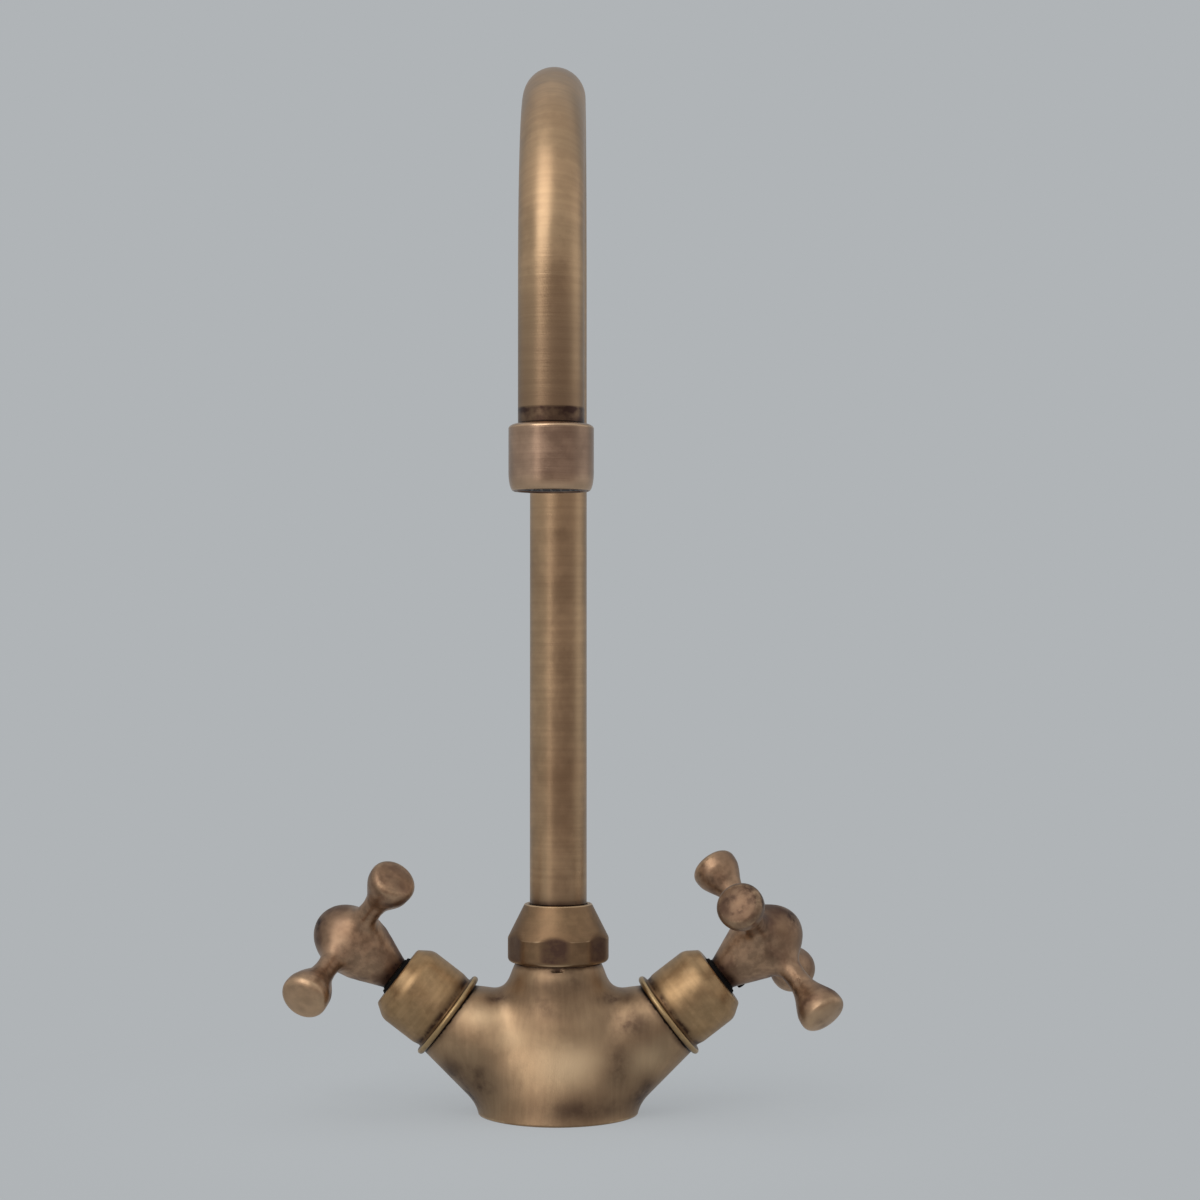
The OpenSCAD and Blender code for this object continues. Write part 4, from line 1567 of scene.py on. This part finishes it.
@dataclass
class Spout:
    """The gooseneck: its tube, outlet collar and aerator insert.

    Attributes:
        ring_counts: Rings of the tube in a joint, upright, above the collar and in the bend.
    """

    tube_r: float = 9.0
    tube_wall: float = 1.2
    tube_sides: int = 96
    ring_counts: tuple = (4, 44, 12, 97)
    foot_z: float = 59.0
    nut_top_z: float = 66.3
    end_z: float = 199.7
    bend_z: float = 248.2
    bend_r: float = 59.5
    collar_r: float = 11.55
    collar_z: float = 190.0
    collar_len: float = 18.2
    collar_low_in: float = 1.4
    collar_low_h: float = 5.0
    collar_top_drop: float = 1.3
    collar_stop: float = 9.6
    collar_edge: float = 0.35
    collar_bevel: float = 0.25
    cavity_r: float = 9.6
    cavity_len: float = 8.0
    insert_r: float = 9.5
    insert_wall: float = 1.6
    insert_z: float = 190.4
    insert_top_z: float = 197.0
    insert_edge: float = 0.5
    insert_bevel: float = 0.4
    insert_step: float = 0.8
    cell: float = 2.6
    bar: float = 0.6
    bar_h: float = 3.0
    insert_sharp: float = 40.0

    @property
    def collar_top_z(self) -> float:
        """Height of the collar's upper end."""
        return self.collar_z + self.collar_len

    def path(self) -> np.ndarray:
        """Middle line of the tube, with its points closer where it enters a joint.

        Returns:
            One row of x, y, z for each point, from the foot over the bend to the outlet.
        """
        near, roof = self.nut_top_z, self.collar_top_z
        hidden, upright, drop, bend = self.ring_counts
        rise = (np.linspace(self.foot_z, near - 1, hidden), np.arange(near - 0.6, near + 7, 0.35),
                np.linspace(near + 8, self.bend_z, upright))
        fall = (np.linspace(self.bend_z, roof + 9, drop),
                np.arange(roof + 8.5, roof - 0.5, -0.4),
                np.linspace(roof - 1, self.end_z, hidden))
        turns = np.radians(np.linspace(0, 180, bend))[1:-1]
        up = [(0, 0, z) for z in np.concatenate(rise)]
        over = [(0, self.bend_r * (math.cos(t) - 1), self.bend_z + self.bend_r * math.sin(t))
                for t in turns]
        down = [(0, -2 * self.bend_r, z) for z in np.concatenate(fall)]
        return np.array(up + over + down)

    def straightened(self, p: np.ndarray) -> np.ndarray:
        """Where points of the tube would lie if it were a straight pipe.

        Args:
            p: Points on the bent tube.

        Returns:
            The same points with their third value along the pipe.
        """
        x, y, z = p.T
        over, down = z > self.bend_z, y < -self.bend_r
        turn = np.arctan2(z - self.bend_z, y + self.bend_r)
        out = np.hypot(z - self.bend_z, y + self.bend_r) - self.bend_r
        side = np.where(over, out, np.where(down, -(y + 2 * self.bend_r), y))
        fallen = self.bend_z + math.pi * self.bend_r + self.bend_z - z
        along = np.where(over, self.bend_z + self.bend_r * turn, np.where(down, fallen, z))
        return np.stack([x, side, along], axis=1)

    def tube(self, finishes: Finishes) -> None:
        """Sweeps the tube along its path with Geometry Nodes and thickens it.

        Args:
            finishes: The materials.
        """
        line = (self.path() * MM).tolist()
        runs = [(k, k + 1) for k in range(len(line) - 1)]
        piece = meshed("gooseneck_tube", line, runs, [])
        kinds = {"Radius": "Float", "Sides": "Int"}
        add_nodes(piece, geometry_group("swept_tube", kinds, swept_tube), {
            "Radius": self.tube_r * MM, "Sides": self.tube_sides, "Material": finishes["spout"]})
        wall = piece.modifiers.new("wall", "SOLIDIFY")
        wall.thickness = self.tube_wall * MM
        apply_modifiers(piece)
        place = points_of(piece.data)
        mark(piece.data, turned=self.straightened(place) * MM, edge=curvature(piece.data),
             stain=self.stains(place), seam=self.seams(place))
        hand_over(piece, finishes["spout"], "spout", "spout_tube")

    def seams(self, p: np.ndarray) -> np.ndarray:
        """How close points are to where the tube enters the nut or the collar, where shade is
        painted.

        Args:
            p: Points on the bent tube.

        Returns:
            1 at the joint line and 0 far from it.
        """
        joint = np.where(p[:, 1] < -self.bend_r, self.collar_top_z, self.nut_top_z)
        return seam_mask(np.maximum(p[:, 2] - joint, 0))

    def stains(self, p: np.ndarray) -> np.ndarray:
        """How deep the tarnish is along the tube, at its foot and over the collar.

        Args:
            p: Points on the bent tube.

        Returns:
            0 for none to 1 for deep tarnish.
        """
        over = p[:, 2] - self.collar_top_z
        band = 0.85 * grade(over, zero_at=4.6, one_at=3.9)
        band += 0.25 * bell(over, middle=6.0, width=3.5)
        drop = 0.3 * grade(p[:, 2], zero_at=self.bend_z, one_at=self.bend_z - 15)
        foot = 0.5 * bell(p[:, 2], middle=66.0, width=3.5)
        return np.where(p[:, 1] < -self.bend_r, np.maximum(band, drop), foot)

    def collar_skin(self) -> Skin:
        """Turned outlet collar with its tapped cavity, about its own axis.

        Returns:
            The closed skin.
        """
        bore = self.tube_r + 0.05
        inner = self.tube_r - self.tube_wall
        edge, bevel = self.collar_edge, self.collar_bevel
        low = [(self.collar_r - self.collar_low_in * (1 - math.sin(t)),
                self.collar_low_h * (1 - math.cos(t))) for t in np.radians(np.linspace(12, 90, 14))]
        top = [(bore + (self.collar_r - bore) * math.cos(t),
                self.collar_len - self.collar_top_drop * (1 - math.sin(t)))
               for t in np.radians(np.linspace(0, 90, 14))]
        lip = arc((low[0][0] - edge, low[0][1] + edge * 0.6), edge, -90, -35, 4)
        profile = [(self.cavity_r, bevel), (self.cavity_r + bevel, 0.0)] + lip + low + top
        profile += [(bore, self.collar_stop), (inner, self.collar_stop),
                    (inner, self.cavity_len), (self.cavity_r, self.cavity_len)]
        return lathe(profile, sides=160, longest=0.9)

    def collar(self, finishes: Finishes) -> None:
        """Makes the outlet collar, with painted highlights at its lips, and painted shade beneath
        it and over a reflection on its right.

        Args:
            finishes: The materials.
        """
        skin = self.collar_skin()
        place = Matrix.Translation((0, -2 * self.bend_r * MM, self.collar_z * MM))
        piece = add_piece("outlet_ring", skin, place, sharp=60.0)
        x, y, height = skin.points.T
        # Painted highlights on the lower lip and the rounded top edge.
        lips = 0.5 * grade(height, zero_at=4.5, one_at=0.5)
        lips += 0.5 * bell(height, self.collar_len, width=1.2)
        # Painted shade on the underside, and painted shade over a reflection on the right side.
        inward = self.collar_r - np.hypot(x, y)
        under = 0.9 * grade(inward, zero_at=1.0, one_at=1.5)
        under *= grade(height, zero_at=1.2, one_at=0.6)
        side = 0.4 * bell(x, middle=8.5, width=2.5) * grade(height, zero_at=3.0, one_at=6.0)
        mark(piece.data, polish=lips, stain=np.maximum(under, side),
             edge=np.where(under > 0.1, UNWORN, curvature(piece.data)))
        hand_over(piece, finishes["collar"], "spout", "outlet_collar")

    def insert(self, finishes: Finishes) -> None:
        """Makes the aerator insert: a rounded ring with a grid of crossed bars.

        Args:
            finishes: The materials.
        """
        outer, bore = self.insert_r, self.insert_r - self.insert_wall
        height, edge, bevel = self.insert_top_z - self.insert_z, self.insert_edge, self.insert_bevel
        wide, deep = bore + self.insert_step, height - self.insert_step
        ring = [(bore, bevel), (bore + bevel, 0.0)] + arc((outer - edge, edge), edge, -90, 0, 6)
        ring += [(outer, height), (wide, height), (wide, deep), (bore, deep)]
        skin = lathe(ring, sides=96, longest=1.0)
        piece = add_piece("aerator_insert_grid", skin, Matrix.Identity(4), self.insert_sharp)
        kinds = {"Count": "Int", "Pitch": "Float", "Bar": "Float", "Height": "Float",
                 "Radius": "Float"}
        add_nodes(piece, geometry_group("crossed_bars", kinds, crossed_bars), {
            "Count": 2 * math.floor(bore / self.cell) + 1, "Pitch": self.cell * MM,
            "Bar": self.bar * MM, "Height": self.bar_h * MM, "Radius": (bore + 0.2) * MM,
            "Material": finishes["grey_plastic"]})
        apply_modifiers(piece)
        place = Matrix.Translation((0, -2 * self.bend_r * MM, self.insert_z * MM))
        piece.data.transform(place)
        smooth(piece.data, self.insert_sharp)
        hand_over(piece, finishes["grey_plastic"], "spout", "aerator_insert")

    def build(self, finishes: Finishes) -> None:
        """Builds and dresses the tube, the collar and the insert.

        Args:
            finishes: The materials.
        """
        self.tube(finishes)
        self.collar(finishes)
        self.insert(finishes)


@dataclass
class SpoutNut:
    """The nut that holds the spout, a cone over a band with six flats.

    Heights are from the nut's lower edge.
    """

    foot_z: float = 48.0
    height: float = 18.3
    band_r: float = 15.95
    band_h: float = 7.6
    flat_r: float = 15.15
    flat_turn: float = 60.0
    rim_in: float = 9.4
    rim_w: float = 1.4
    rim_bevel: float = 0.2
    rim_round: float = 0.5
    low_round: float = 1.5
    band_round: float = 1.2
    thread_r: float = 13.1
    thread_bevel: float = 0.3
    seat_r: float = 11.3
    lip_h: float = 14.6
    step_h: float = 10.1
    turn: float = -3.3
    softness: float = 0.6

    def flats(self, p: np.ndarray) -> np.ndarray:
        """Distance of the flat from the axis at each point's angle."""
        off = np.degrees(np.arctan2(p[:, 1], p[:, 0])) % self.flat_turn - self.flat_turn / 2
        return self.flat_r / np.cos(np.radians(off))

    def skin(self) -> Skin:
        """Nut about its own axis, its outside worn soft between the flats.

        Returns:
            The closed skin.
        """
        rim_out = self.rim_in + self.rim_w
        slope = math.degrees(math.atan2(self.band_r - rim_out, self.height - self.band_h))
        low, band, rim = self.low_round, self.band_round, self.rim_round
        outer = [(self.thread_r + self.thread_bevel, 0.0)]
        outer += arc((self.band_r - low, low), low, -90, 0, 10)
        outer += arc((self.band_r - band, self.band_h - self.rim_bevel), band, 0, slope, 5)
        outer += arc((rim_out - rim, self.height - rim), rim, slope, 90, 5)
        inner = [(self.rim_in + self.rim_bevel, self.height),
                 (self.rim_in, self.height - self.rim_bevel), (self.rim_in, self.lip_h),
                 (self.seat_r, self.lip_h), (self.seat_r, self.step_h),
                 (self.thread_r, self.step_h), (self.thread_r, self.thread_bevel)]
        turned = lathe(outer + inner, sides=360, longest=0.45)
        radius = np.hypot(turned.points[:, 0], turned.points[:, 1])
        cut = smooth_least(radius, self.flats(turned.points), self.softness)
        share = np.where(radius > self.flat_r - self.softness, cut / radius, 1.0)
        turned.points[:, :2] *= share[:, None]
        return turned

    def depth(self, p: np.ndarray) -> np.ndarray:
        """How deep the flats cut the turned outside at each point's angle and height.

        Args:
            p: Points of the nut about its own axis.

        Returns:
            The depth, negative where no flat cuts, and far below zero inside the bore.
        """
        radius = np.hypot(p[:, 0], p[:, 1])
        whole = np.interp(p[:, 2], [0.0, self.low_round, self.band_h, self.height],
                          [self.band_r - self.low_round, self.band_r, self.band_r,
                           self.rim_in + self.rim_w])
        skin_depth = 1.2
        return np.where(radius > whole - skin_depth, whole - self.flats(p), -FAR)

    def build(self, finishes: Finishes) -> None:
        """Builds and dresses the nut, rubbed round its flats and dark on them, with painted light
        on the flats at its left.

        Args:
            finishes: The materials.
        """
        turn = Matrix.Rotation(math.radians(self.turn), 4, "Z")
        skin = self.skin()
        piece = add_piece("spout_ring_nut", skin,
                          Matrix.Translation((0, 0, self.foot_z * MM)) @ turn, sharp=60.0)
        depth = self.depth(skin.points)
        # Painted light: the flats on the left, where the light falls, are left less dark.
        painted_left_light = 1 - 0.45 * grade(-skin.points[:, 0], zero_at=8.0, one_at=13.0)
        mark(piece.data, edge=curvature(piece.data) + 0.12 * bell(depth, middle=-0.1, width=0.25),
             stain=0.85 * painted_left_light * grade(depth, zero_at=-0.05, one_at=0.5))
        hand_over(piece, finishes["nut"], "valve_body", "spout_nut")


@dataclass
class CrossHandle:
    """Four trumpet-shaped arms that blend into a flaring hub with a dome.

    Heights are from the arm's face. The arms lie along x and y.

    Attributes:
        arm_knots: Distance from the axis and radius along an arm.
        hub_knots: Height and radius up the hub, from its lower end.
    """

    low: float = 22.35
    cross_u: float = 40.4
    blend: float = 5.0
    cell: float = 0.5
    tip: float = 34.1
    rim_at: tuple = (30.8, 4.8)
    rim_round: float = 2.6
    dome_z: float = 43.7
    dome_h: float = 8.4
    dome_r: float = 8.5
    box_half: float = 35.7
    box_top: float = 52.7
    box_margin: float = 1.2
    knot_steps: int = 6
    arm_knots: tuple = ((4.0, 5.8), (8.0, 5.2), (11.5, 4.1), (14.0, 3.55), (16.5, 3.4),
                        (20.0, 3.75), (22.4, 4.5), (24.7, 5.6), (26.9, 6.65), (28.4, 7.18),
                        (29.9, 7.38))
    hub_knots: tuple = ((20.85, 5.1), (22.35, 5.4), (25.0, 6.4), (27.8, 7.55), (30.6, 8.7),
                        (33.8, 9.55), (37.0, 9.45), (40.4, 9.0), (43.7, 8.53))

    def arm_outline(self) -> np.ndarray:
        """Distance from the valve's axis and radius along a cross arm.

        Returns:
            Points from the hub to the middle of the knob's end.
        """
        rim = arc(self.rim_at, self.rim_round, 84, 13, 10)
        end_s, end_r = rim[-1]
        face = [(self.tip - (self.tip - end_s) * (r / end_r) ** 2, r)
                for r in np.linspace(end_r, 0, 9)[1:]]
        return np.vstack([through(self.arm_knots, self.knot_steps), rim, face])

    def hub_outline(self) -> np.ndarray:
        """Height and radius of the hub from its neck to the top of its dome.

        Returns:
            Points up the hub's outside.
        """
        dome = [(self.dome_z + self.dome_h * math.sin(t), self.dome_r * math.cos(t))
                for t in np.radians(np.linspace(4, 90, 18))]
        return np.vstack([through(self.hub_knots, self.knot_steps), dome])

    def gap(self, p: np.ndarray) -> np.ndarray:
        """How far points lie outside the cross handle.

        Args:
            p: One row of x, y, z for each point.

        Returns:
            One distance for each point, negative inside.
        """
        x, y, rise = np.abs(p[:, 0]), np.abs(p[:, 1]), p[:, 2] - self.cross_u
        outline = self.arm_outline()
        cross = smooth_least(turned_gap(x, np.hypot(y, rise), outline),
                             turned_gap(y, np.hypot(x, rise), outline), self.blend)
        hub = turned_gap(p[:, 2], np.hypot(x, y), self.hub_outline())
        return smooth_least(hub, cross, self.blend)

    def stains(self, p: np.ndarray) -> np.ndarray:
        """How dark the handle is made: tarnish on the knobs' ends, darker at the neck's lower end,
        and painted shade over the dome with a dark patch on it.

        Args:
            p: Points of the handle about its own axis.

        Returns:
            0 for none to 1 for the darkest.
        """
        x, y, z = p.T
        along, across = np.maximum(np.abs(x), np.abs(y)), np.minimum(np.abs(x), np.abs(y))
        off = np.hypot(across - 2.2, z - self.cross_u + 1.6)
        face = 0.38 * bell(off, middle=0.0, width=2.6) * grade(along, zero_at=30.0, one_at=33.0)
        # Darker toward the neck's lower end.
        neck = 0.9 * bell(z, self.low, width=2.0) + 0.3 * bell(z, self.low, width=5.0)
        # Painted shade over the dome that dims its highlight.
        dome = 0.45 * grade(z, zero_at=40.0, one_at=48.0)
        dome += 0.4 * bell(x, middle=1.0, width=3.0) * bell(y, middle=-4.0, width=2.2) * (z > 44)
        return np.clip(face + neck + dome, 0, 1)

    def polish(self, p: np.ndarray, up: np.ndarray) -> np.ndarray:
        """How far the knobs' ends get a painted highlight, most on those that hang lowest.

        Args:
            p: Points of the handle about its own axis.
            up: The upward direction in the handle's own frame.

        Returns:
            0 for none to 1 for the full painted highlight.
        """
        along = np.maximum(np.abs(p[:, 0]), np.abs(p[:, 1]))
        low = grade((p - [0, 0, self.cross_u]) @ up, zero_at=1.5, one_at=-28.5)
        return 0.9 * low * grade(along, zero_at=28.0, one_at=33.0)

    def skin(self) -> Skin:
        """Handle cut square at its lower end.

        Returns:
            The closed skin.
        """
        half = self.box_half
        net = netted(self.gap, (-half, -half, self.low - self.box_margin),
                     (half, half, self.box_top), self.cell)
        work = bmesh.new()
        fill(work, net)
        made = bmesh.ops.bisect_plane(
            work, geom=work.verts[:] + work.edges[:] + work.faces[:], dist=ON_PLANE,
            plane_co=(0, 0, self.low), plane_no=(0, 0, -1), clear_outer=True)
        rim = [e for e in made["geom_cut"] if isinstance(e, bmesh.types.BMEdge)]
        bmesh.ops.holes_fill(work, edges=rim)
        return emptied(work)


@dataclass
class Valve:
    """One valve's visible metal: its bonnet, mouth ring and cross handle.

    Heights are from the arm's face.

    Attributes:
        side: Which valve.
        turn: Turn of the handle about the valve's axis, in degrees.
        cross: Skin of the handle.
        front_knob_shade: How much painted shade darkens the handle's front knob, or painted light
            lightens it where below zero.
    """

    side: Side
    turn: float
    cross: Skin
    front_knob_shade: float
    barrel_r: float = 13.2
    length: float = 21.1
    bead_r: float = 14.9
    bead_t: float = 2.0
    barrel_len: float = 15.3
    shoulder_round: float = 5.0
    face_r: float = 9.6
    face_round: float = 1.3
    groove: float = 0.4
    bore_r: float = 11.5
    bore_len: float = 9.0
    thread_r: float = 9.3
    mouth_r: float = 7.2
    mouth_len: float = 3.4
    mouth_bevel: float = 0.25
    ring_in: float = 5.1
    ring_out: float = 7.1
    ring_low: float = 17.8
    ring_seen: float = 6.5
    ring_top: float = 22.0
    ring_round: float = 0.3
    lip_w: float = 0.5
    lip_h: float = 0.32

    @property
    def place(self) -> Matrix:
        """The valve's frame, in metres."""
        return ARMS.place(self.side, MM)

    def bonnet_skin(self) -> Skin:
        """Turned bonnet with its bead, groove and chamfered shoulder.

        Returns:
            The closed skin.
        """
        half, bead = self.bead_t / 2, self.bead_t
        across = self.face_r - self.barrel_r + self.shoulder_round
        along = self.length - self.face_round - self.barrel_len
        spare = math.acos((self.shoulder_round - self.face_round) / math.hypot(across, along))
        lean = math.degrees(math.atan2(along, across) - spare)
        neck = self.barrel_r - self.groove
        hollow = through(((bead, neck + 0.3), (bead + 0.5, neck), (bead + 1.4, neck + 0.1),
                          (bead + 2.6, self.barrel_r - 0.06), (bead + 3.6, self.barrel_r)), 4)
        seat = self.length - self.mouth_len
        profile = [(self.bore_r, 0.0)] + arc((self.bead_r - half, half), half, -90, 70, 14)
        profile += [(r, h) for h, r in hollow]
        profile += arc((self.barrel_r - self.shoulder_round, self.barrel_len),
                       self.shoulder_round, 0, lean, 12)
        profile += arc((self.face_r, self.length - self.face_round), self.face_round, lean, 90, 10)
        profile += [(self.mouth_r + self.mouth_bevel, self.length),
                    (self.mouth_r, self.length - self.mouth_bevel), (self.mouth_r, seat),
                    (self.thread_r, seat), (self.thread_r, self.bore_len),
                    (self.bore_r, self.bore_len)]
        return lathe(profile, sides=192, longest=0.7)

    def bonnet(self, finishes: Finishes) -> None:
        """Makes the bonnet, dark over its bead and at its mouth, with a painted shadow line under
        its bead.

        Args:
            finishes: The materials.
        """
        skin = self.bonnet_skin()
        piece = add_piece(f"{self.side.prefix}_bonnet_shell", skin, self.place, sharp=70.0)
        radius, height = np.hypot(skin.points[:, 0], skin.points[:, 1]), skin.points[:, 2]
        line_w, line_in, band_h = 0.3, 1.0, 0.8
        # Painted shadow along the bead's underside, where it meets the arm.
        foot = np.maximum(np.hypot(radius - self.bead_r + line_in, height) - line_w, 0)
        mouth = bell(radius, self.mouth_r, width=1.2) * (height > self.length - 1)
        above = np.maximum(height - self.bead_t - band_h, 0)
        band = bell(above, middle=0.0, width=1.6) * (height > self.bead_t - 0.2)
        mark(piece.data, edge=curvature(piece.data), seam=seam_mask(foot),
             stain=0.9 * np.maximum(mouth, band))
        hand_over(piece, finishes["olive_brass"], "valve_body",
                  f"{self.side.prefix}_bonnet")

    def mouth_ring(self, finishes: Finishes) -> None:
        """Makes the black ring round the spindle in the bonnet's mouth, dark enough to stand also
        for the shade there.

        Args:
            finishes: The materials.
        """
        lip, edge = self.ring_in + self.lip_w, self.ring_round
        profile = [(self.ring_in, self.ring_low), (self.ring_out, self.ring_low),
                   (self.ring_out, self.length - 0.4)]
        profile += arc((self.ring_seen - edge, self.ring_top - edge), edge, 0, 90, 4)
        profile += [(lip, self.ring_top), (lip, self.ring_top + self.lip_h),
                    (self.ring_in, self.ring_top + self.lip_h)]
        skin = lathe(profile, sides=96, longest=1.0)
        piece = add_piece(f"{self.side.prefix}_mouth_seal", skin, self.place, sharp=50.0)
        hand_over(piece, finishes["mouth_ring"], "valve_body",
                  f"{self.side.prefix}_mouth_ring")

    def handle(self, finishes: Finishes) -> None:
        """Makes the cross handle, turned to where the photograph shows it.

        Args:
            finishes: The materials.
        """
        spin = self.place @ Matrix.Rotation(math.radians(self.turn), 4, "Z")
        piece = add_piece(f"{self.side.prefix}_cross_handle", self.cross, spin, sharp=60.0)
        cross, p = CrossHandle(), self.cross.points
        rise = p[:, 2] - cross.low
        # Painted shade on the front knob, which the overhead lamp lights most, and painted light
        # where the value is below zero.
        front = self.front_knob_shade * grade(-p[:, 1], zero_at=26.0, one_at=31.0)
        up = np.array(spin.to_3x3().normalized())[2]
        # Painted shade where the neck's lower end meets the mouth ring, and painted highlights on
        # the lowest knobs.
        mark(piece.data, edge=np.where(rise < 1.5, UNWORN, curvature(piece.data)),
             seam=seam_mask(rise), stain=np.clip(cross.stains(p) + front, 0, 1),
             polish=cross.polish(p, up))
        hand_over(piece, finishes["bronzed_brass"], f"{self.side.prefix}_tap",
                  f"{self.side.prefix}_handle")

    def build(self, finishes: Finishes) -> None:
        """Builds and dresses the bonnet, the mouth ring and the handle.

        Args:
            finishes: The materials.
        """
        self.bonnet(finishes)
        self.mouth_ring(finishes)
        self.handle(finishes)


# Studio


@dataclass(frozen=True)
class Lamp:
    """An area lamp.

    Attributes:
        name: Name of the lamp.
        place: Where it hangs, in metres.
        size: Its width and height.
        power: Its power in watts.
        colour: Red, green, blue.
        aim: What it points at.
    """

    name: str
    place: tuple
    size: tuple
    power: float
    colour: tuple
    aim: tuple = (0.0, -0.05, 0.12)

    def build(self) -> None:
        """Adds the lamp to the scene."""
        data = bpy.data.lights.new(self.name, "AREA")
        data.shape = "RECTANGLE"
        data.size, data.size_y = self.size
        data.energy = self.power
        data.color = self.colour
        lamp = linked(self.name, data)
        lamp.location = self.place
        way = Vector(self.aim) - Vector(self.place)
        lamp.rotation_euler = way.to_track_quat("-Z", "Y").to_euler()


@dataclass
class Studio:
    """The pale sweep, the lamps, the world and the camera, in metres."""

    floor_colour: Colour = srgb(200, 204, 207)
    backdrop_colour: Colour = srgb(176, 180, 183)
    sky_colour: Colour = srgb(252, 254, 255)
    side_level: float = 0.6
    top_level: float = 0.78
    dim_level: float = 0.3
    dim_toward: tuple = (0.25, -0.97, 0.0)
    dim_colour: Colour = (1.0, 0.86, 0.84, 1.0)
    floor_front: float = -0.28
    floor_back: float = 1.2
    curve_r: float = 0.8
    wall_top: float = 3.0
    half_width: float = 3.0
    even_share: float = 0.72
    lens: float = 76.2
    sensor: float = 36.0
    camera_place: tuple = (0.0132, -0.805, 0.1509)
    camera_pitch: float = 90.81
    lamps: tuple = (
        Lamp("overhead_box", (-0.61, -1.07, 1.18), (1.1, 1.4), 8.8, (1.0, 0.995, 0.985)),
        Lamp("left_strip", (-0.9, -1.3, 0.35), (0.35, 1.1), 1.0, (1.0, 0.99, 0.98)),
        Lamp("right_box", (1.6, 0.1, 0.45), (0.9, 1.2), 1.25, (0.98, 0.99, 1.0)))

    def sweep(self) -> bpy.types.Object:
        """Floor that curves up into the backdrop.

        Returns:
            The staged object.
        """
        back, bend = self.floor_back, self.curve_r
        rows = [(y, 0.0) for y in np.linspace(self.floor_front, back, 10)]
        rows += [(back + bend * math.sin(t), bend - bend * math.cos(t))
                 for t in np.radians(np.linspace(6, 90, 15))]
        rows += [(back + bend, z) for z in np.linspace(1.0, self.wall_top, 6)]
        points = [(x, y, z) for y, z in rows for x in (-self.half_width, self.half_width)]
        faces = [(2 * k, 2 * k + 1, 2 * k + 3, 2 * k + 2) for k in range(len(rows) - 1)]
        sweep = meshed("studio_sweep", points, [], faces)
        sweep.data.polygons.foreach_set("use_smooth", [True] * len(faces))
        sweep.data.materials.append(self.paper())
        return sweep

    def paper(self) -> bpy.types.Material:
        """Paper that takes the shadow near the mixer and looks even further off.

        Returns:
            The material.
        """
        paper, w, shader = new_material("studio_paper")
        w.fill(shader, {"Base Color": self.floor_colour, "Roughness": 0.9,
                        "Specular IOR Level": 0.1})
        even = w.node("ShaderNodeEmission", {"Color": self.backdrop_colour})
        reach = w.vector("LENGTH", w.place(), (0.0, 0.0, 0.0), "Value")
        rays = w.node("ShaderNodeLightPath").outputs
        seen = w.math("ADD", rays["Is Camera Ray"], rays["Is Glossy Ray"])
        seen = w.math("ADD", seen, rays["Is Transmission Ray"], clamp=True)
        share = w.ramp(reach, low=0.05, high=0.2, to_low=self.even_share)
        blend = w.node("ShaderNodeMixShader", {
            0: w.times(seen, share), 1: shader.outputs[0], 2: even.outputs[0]})
        w.fill(paper.node_tree.nodes["Material Output"], {"Surface": blend.outputs[0]})
        return paper

    def world(self) -> None:
        """Pale light from all round, brighter above and dim at the viewer's horizon."""
        world = bpy.data.worlds.new("studio_world")
        world.use_nodes = True
        w = Wiring(world.node_tree)
        way = w.node("ShaderNodeTexCoord").outputs["Generated"]
        toward = w.vector("DOT_PRODUCT", way, self.dim_toward, "Value")
        height = w.split(way)[2]
        off = w.math("ABSOLUTE", w.math("ADD", height, 0.05))
        dim = w.times(w.ramp(toward, low=0.3, high=0.85),
                      w.ramp(off, low=0.1, high=0.42, to_low=1.0, to_high=0.0))
        level = w.ramp(height, 0.1, 0.9, to_low=self.side_level, to_high=self.top_level)
        level = w.math("ADD", level, w.times(w.math("SUBTRACT", self.dim_level, level), dim))
        seen = w.node("ShaderNodeLightPath").outputs["Is Camera Ray"]
        colour = w.layered(self.sky_colour, (dim, self.dim_colour), (seen, self.backdrop_colour))
        plain = w.times(w.math("SUBTRACT", 1.0, level), seen)
        w.fill(world.node_tree.nodes["Background"], {
            "Color": colour, "Strength": w.math("ADD", level, plain)})
        bpy.context.scene.world = world

    def camera(self) -> None:
        """Camera at the photograph's place and angle."""
        data = bpy.data.cameras.new("camera")
        data.lens, data.sensor_width = self.lens, self.sensor
        camera = linked("camera", data)
        camera.location = self.camera_place
        camera.rotation_euler = (math.radians(self.camera_pitch), 0.0, 0.0)
        bpy.context.scene.camera = camera

    def build(self) -> None:
        """Sets up the whole studio."""
        self.sweep()
        for lamp in self.lamps:
            lamp.build()
        self.world()
        self.camera()
        bpy.context.scene.view_settings.view_transform = "Standard"
        log.info("studio ready")


def main() -> None:
    """Builds the studio and dresses the mixer."""
    logging.basicConfig(level=logging.INFO, format="%(name)s: %(message)s")
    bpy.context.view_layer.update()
    finishes = Finishes(Effects())
    dress_inner_nodes(finishes)
    ValveBody().build(finishes)
    Spout().build(finishes)
    SpoutNut().build(finishes)
    cross = CrossHandle().skin()
    Valve(Side.HOT, turn=-36.4, cross=cross, front_knob_shade=-0.2).build(finishes)
    Valve(Side.COLD, turn=-32.3, cross=cross, front_knob_shade=0.4).build(finishes)
    Studio().build()


if __name__ == "__main__":
    main()
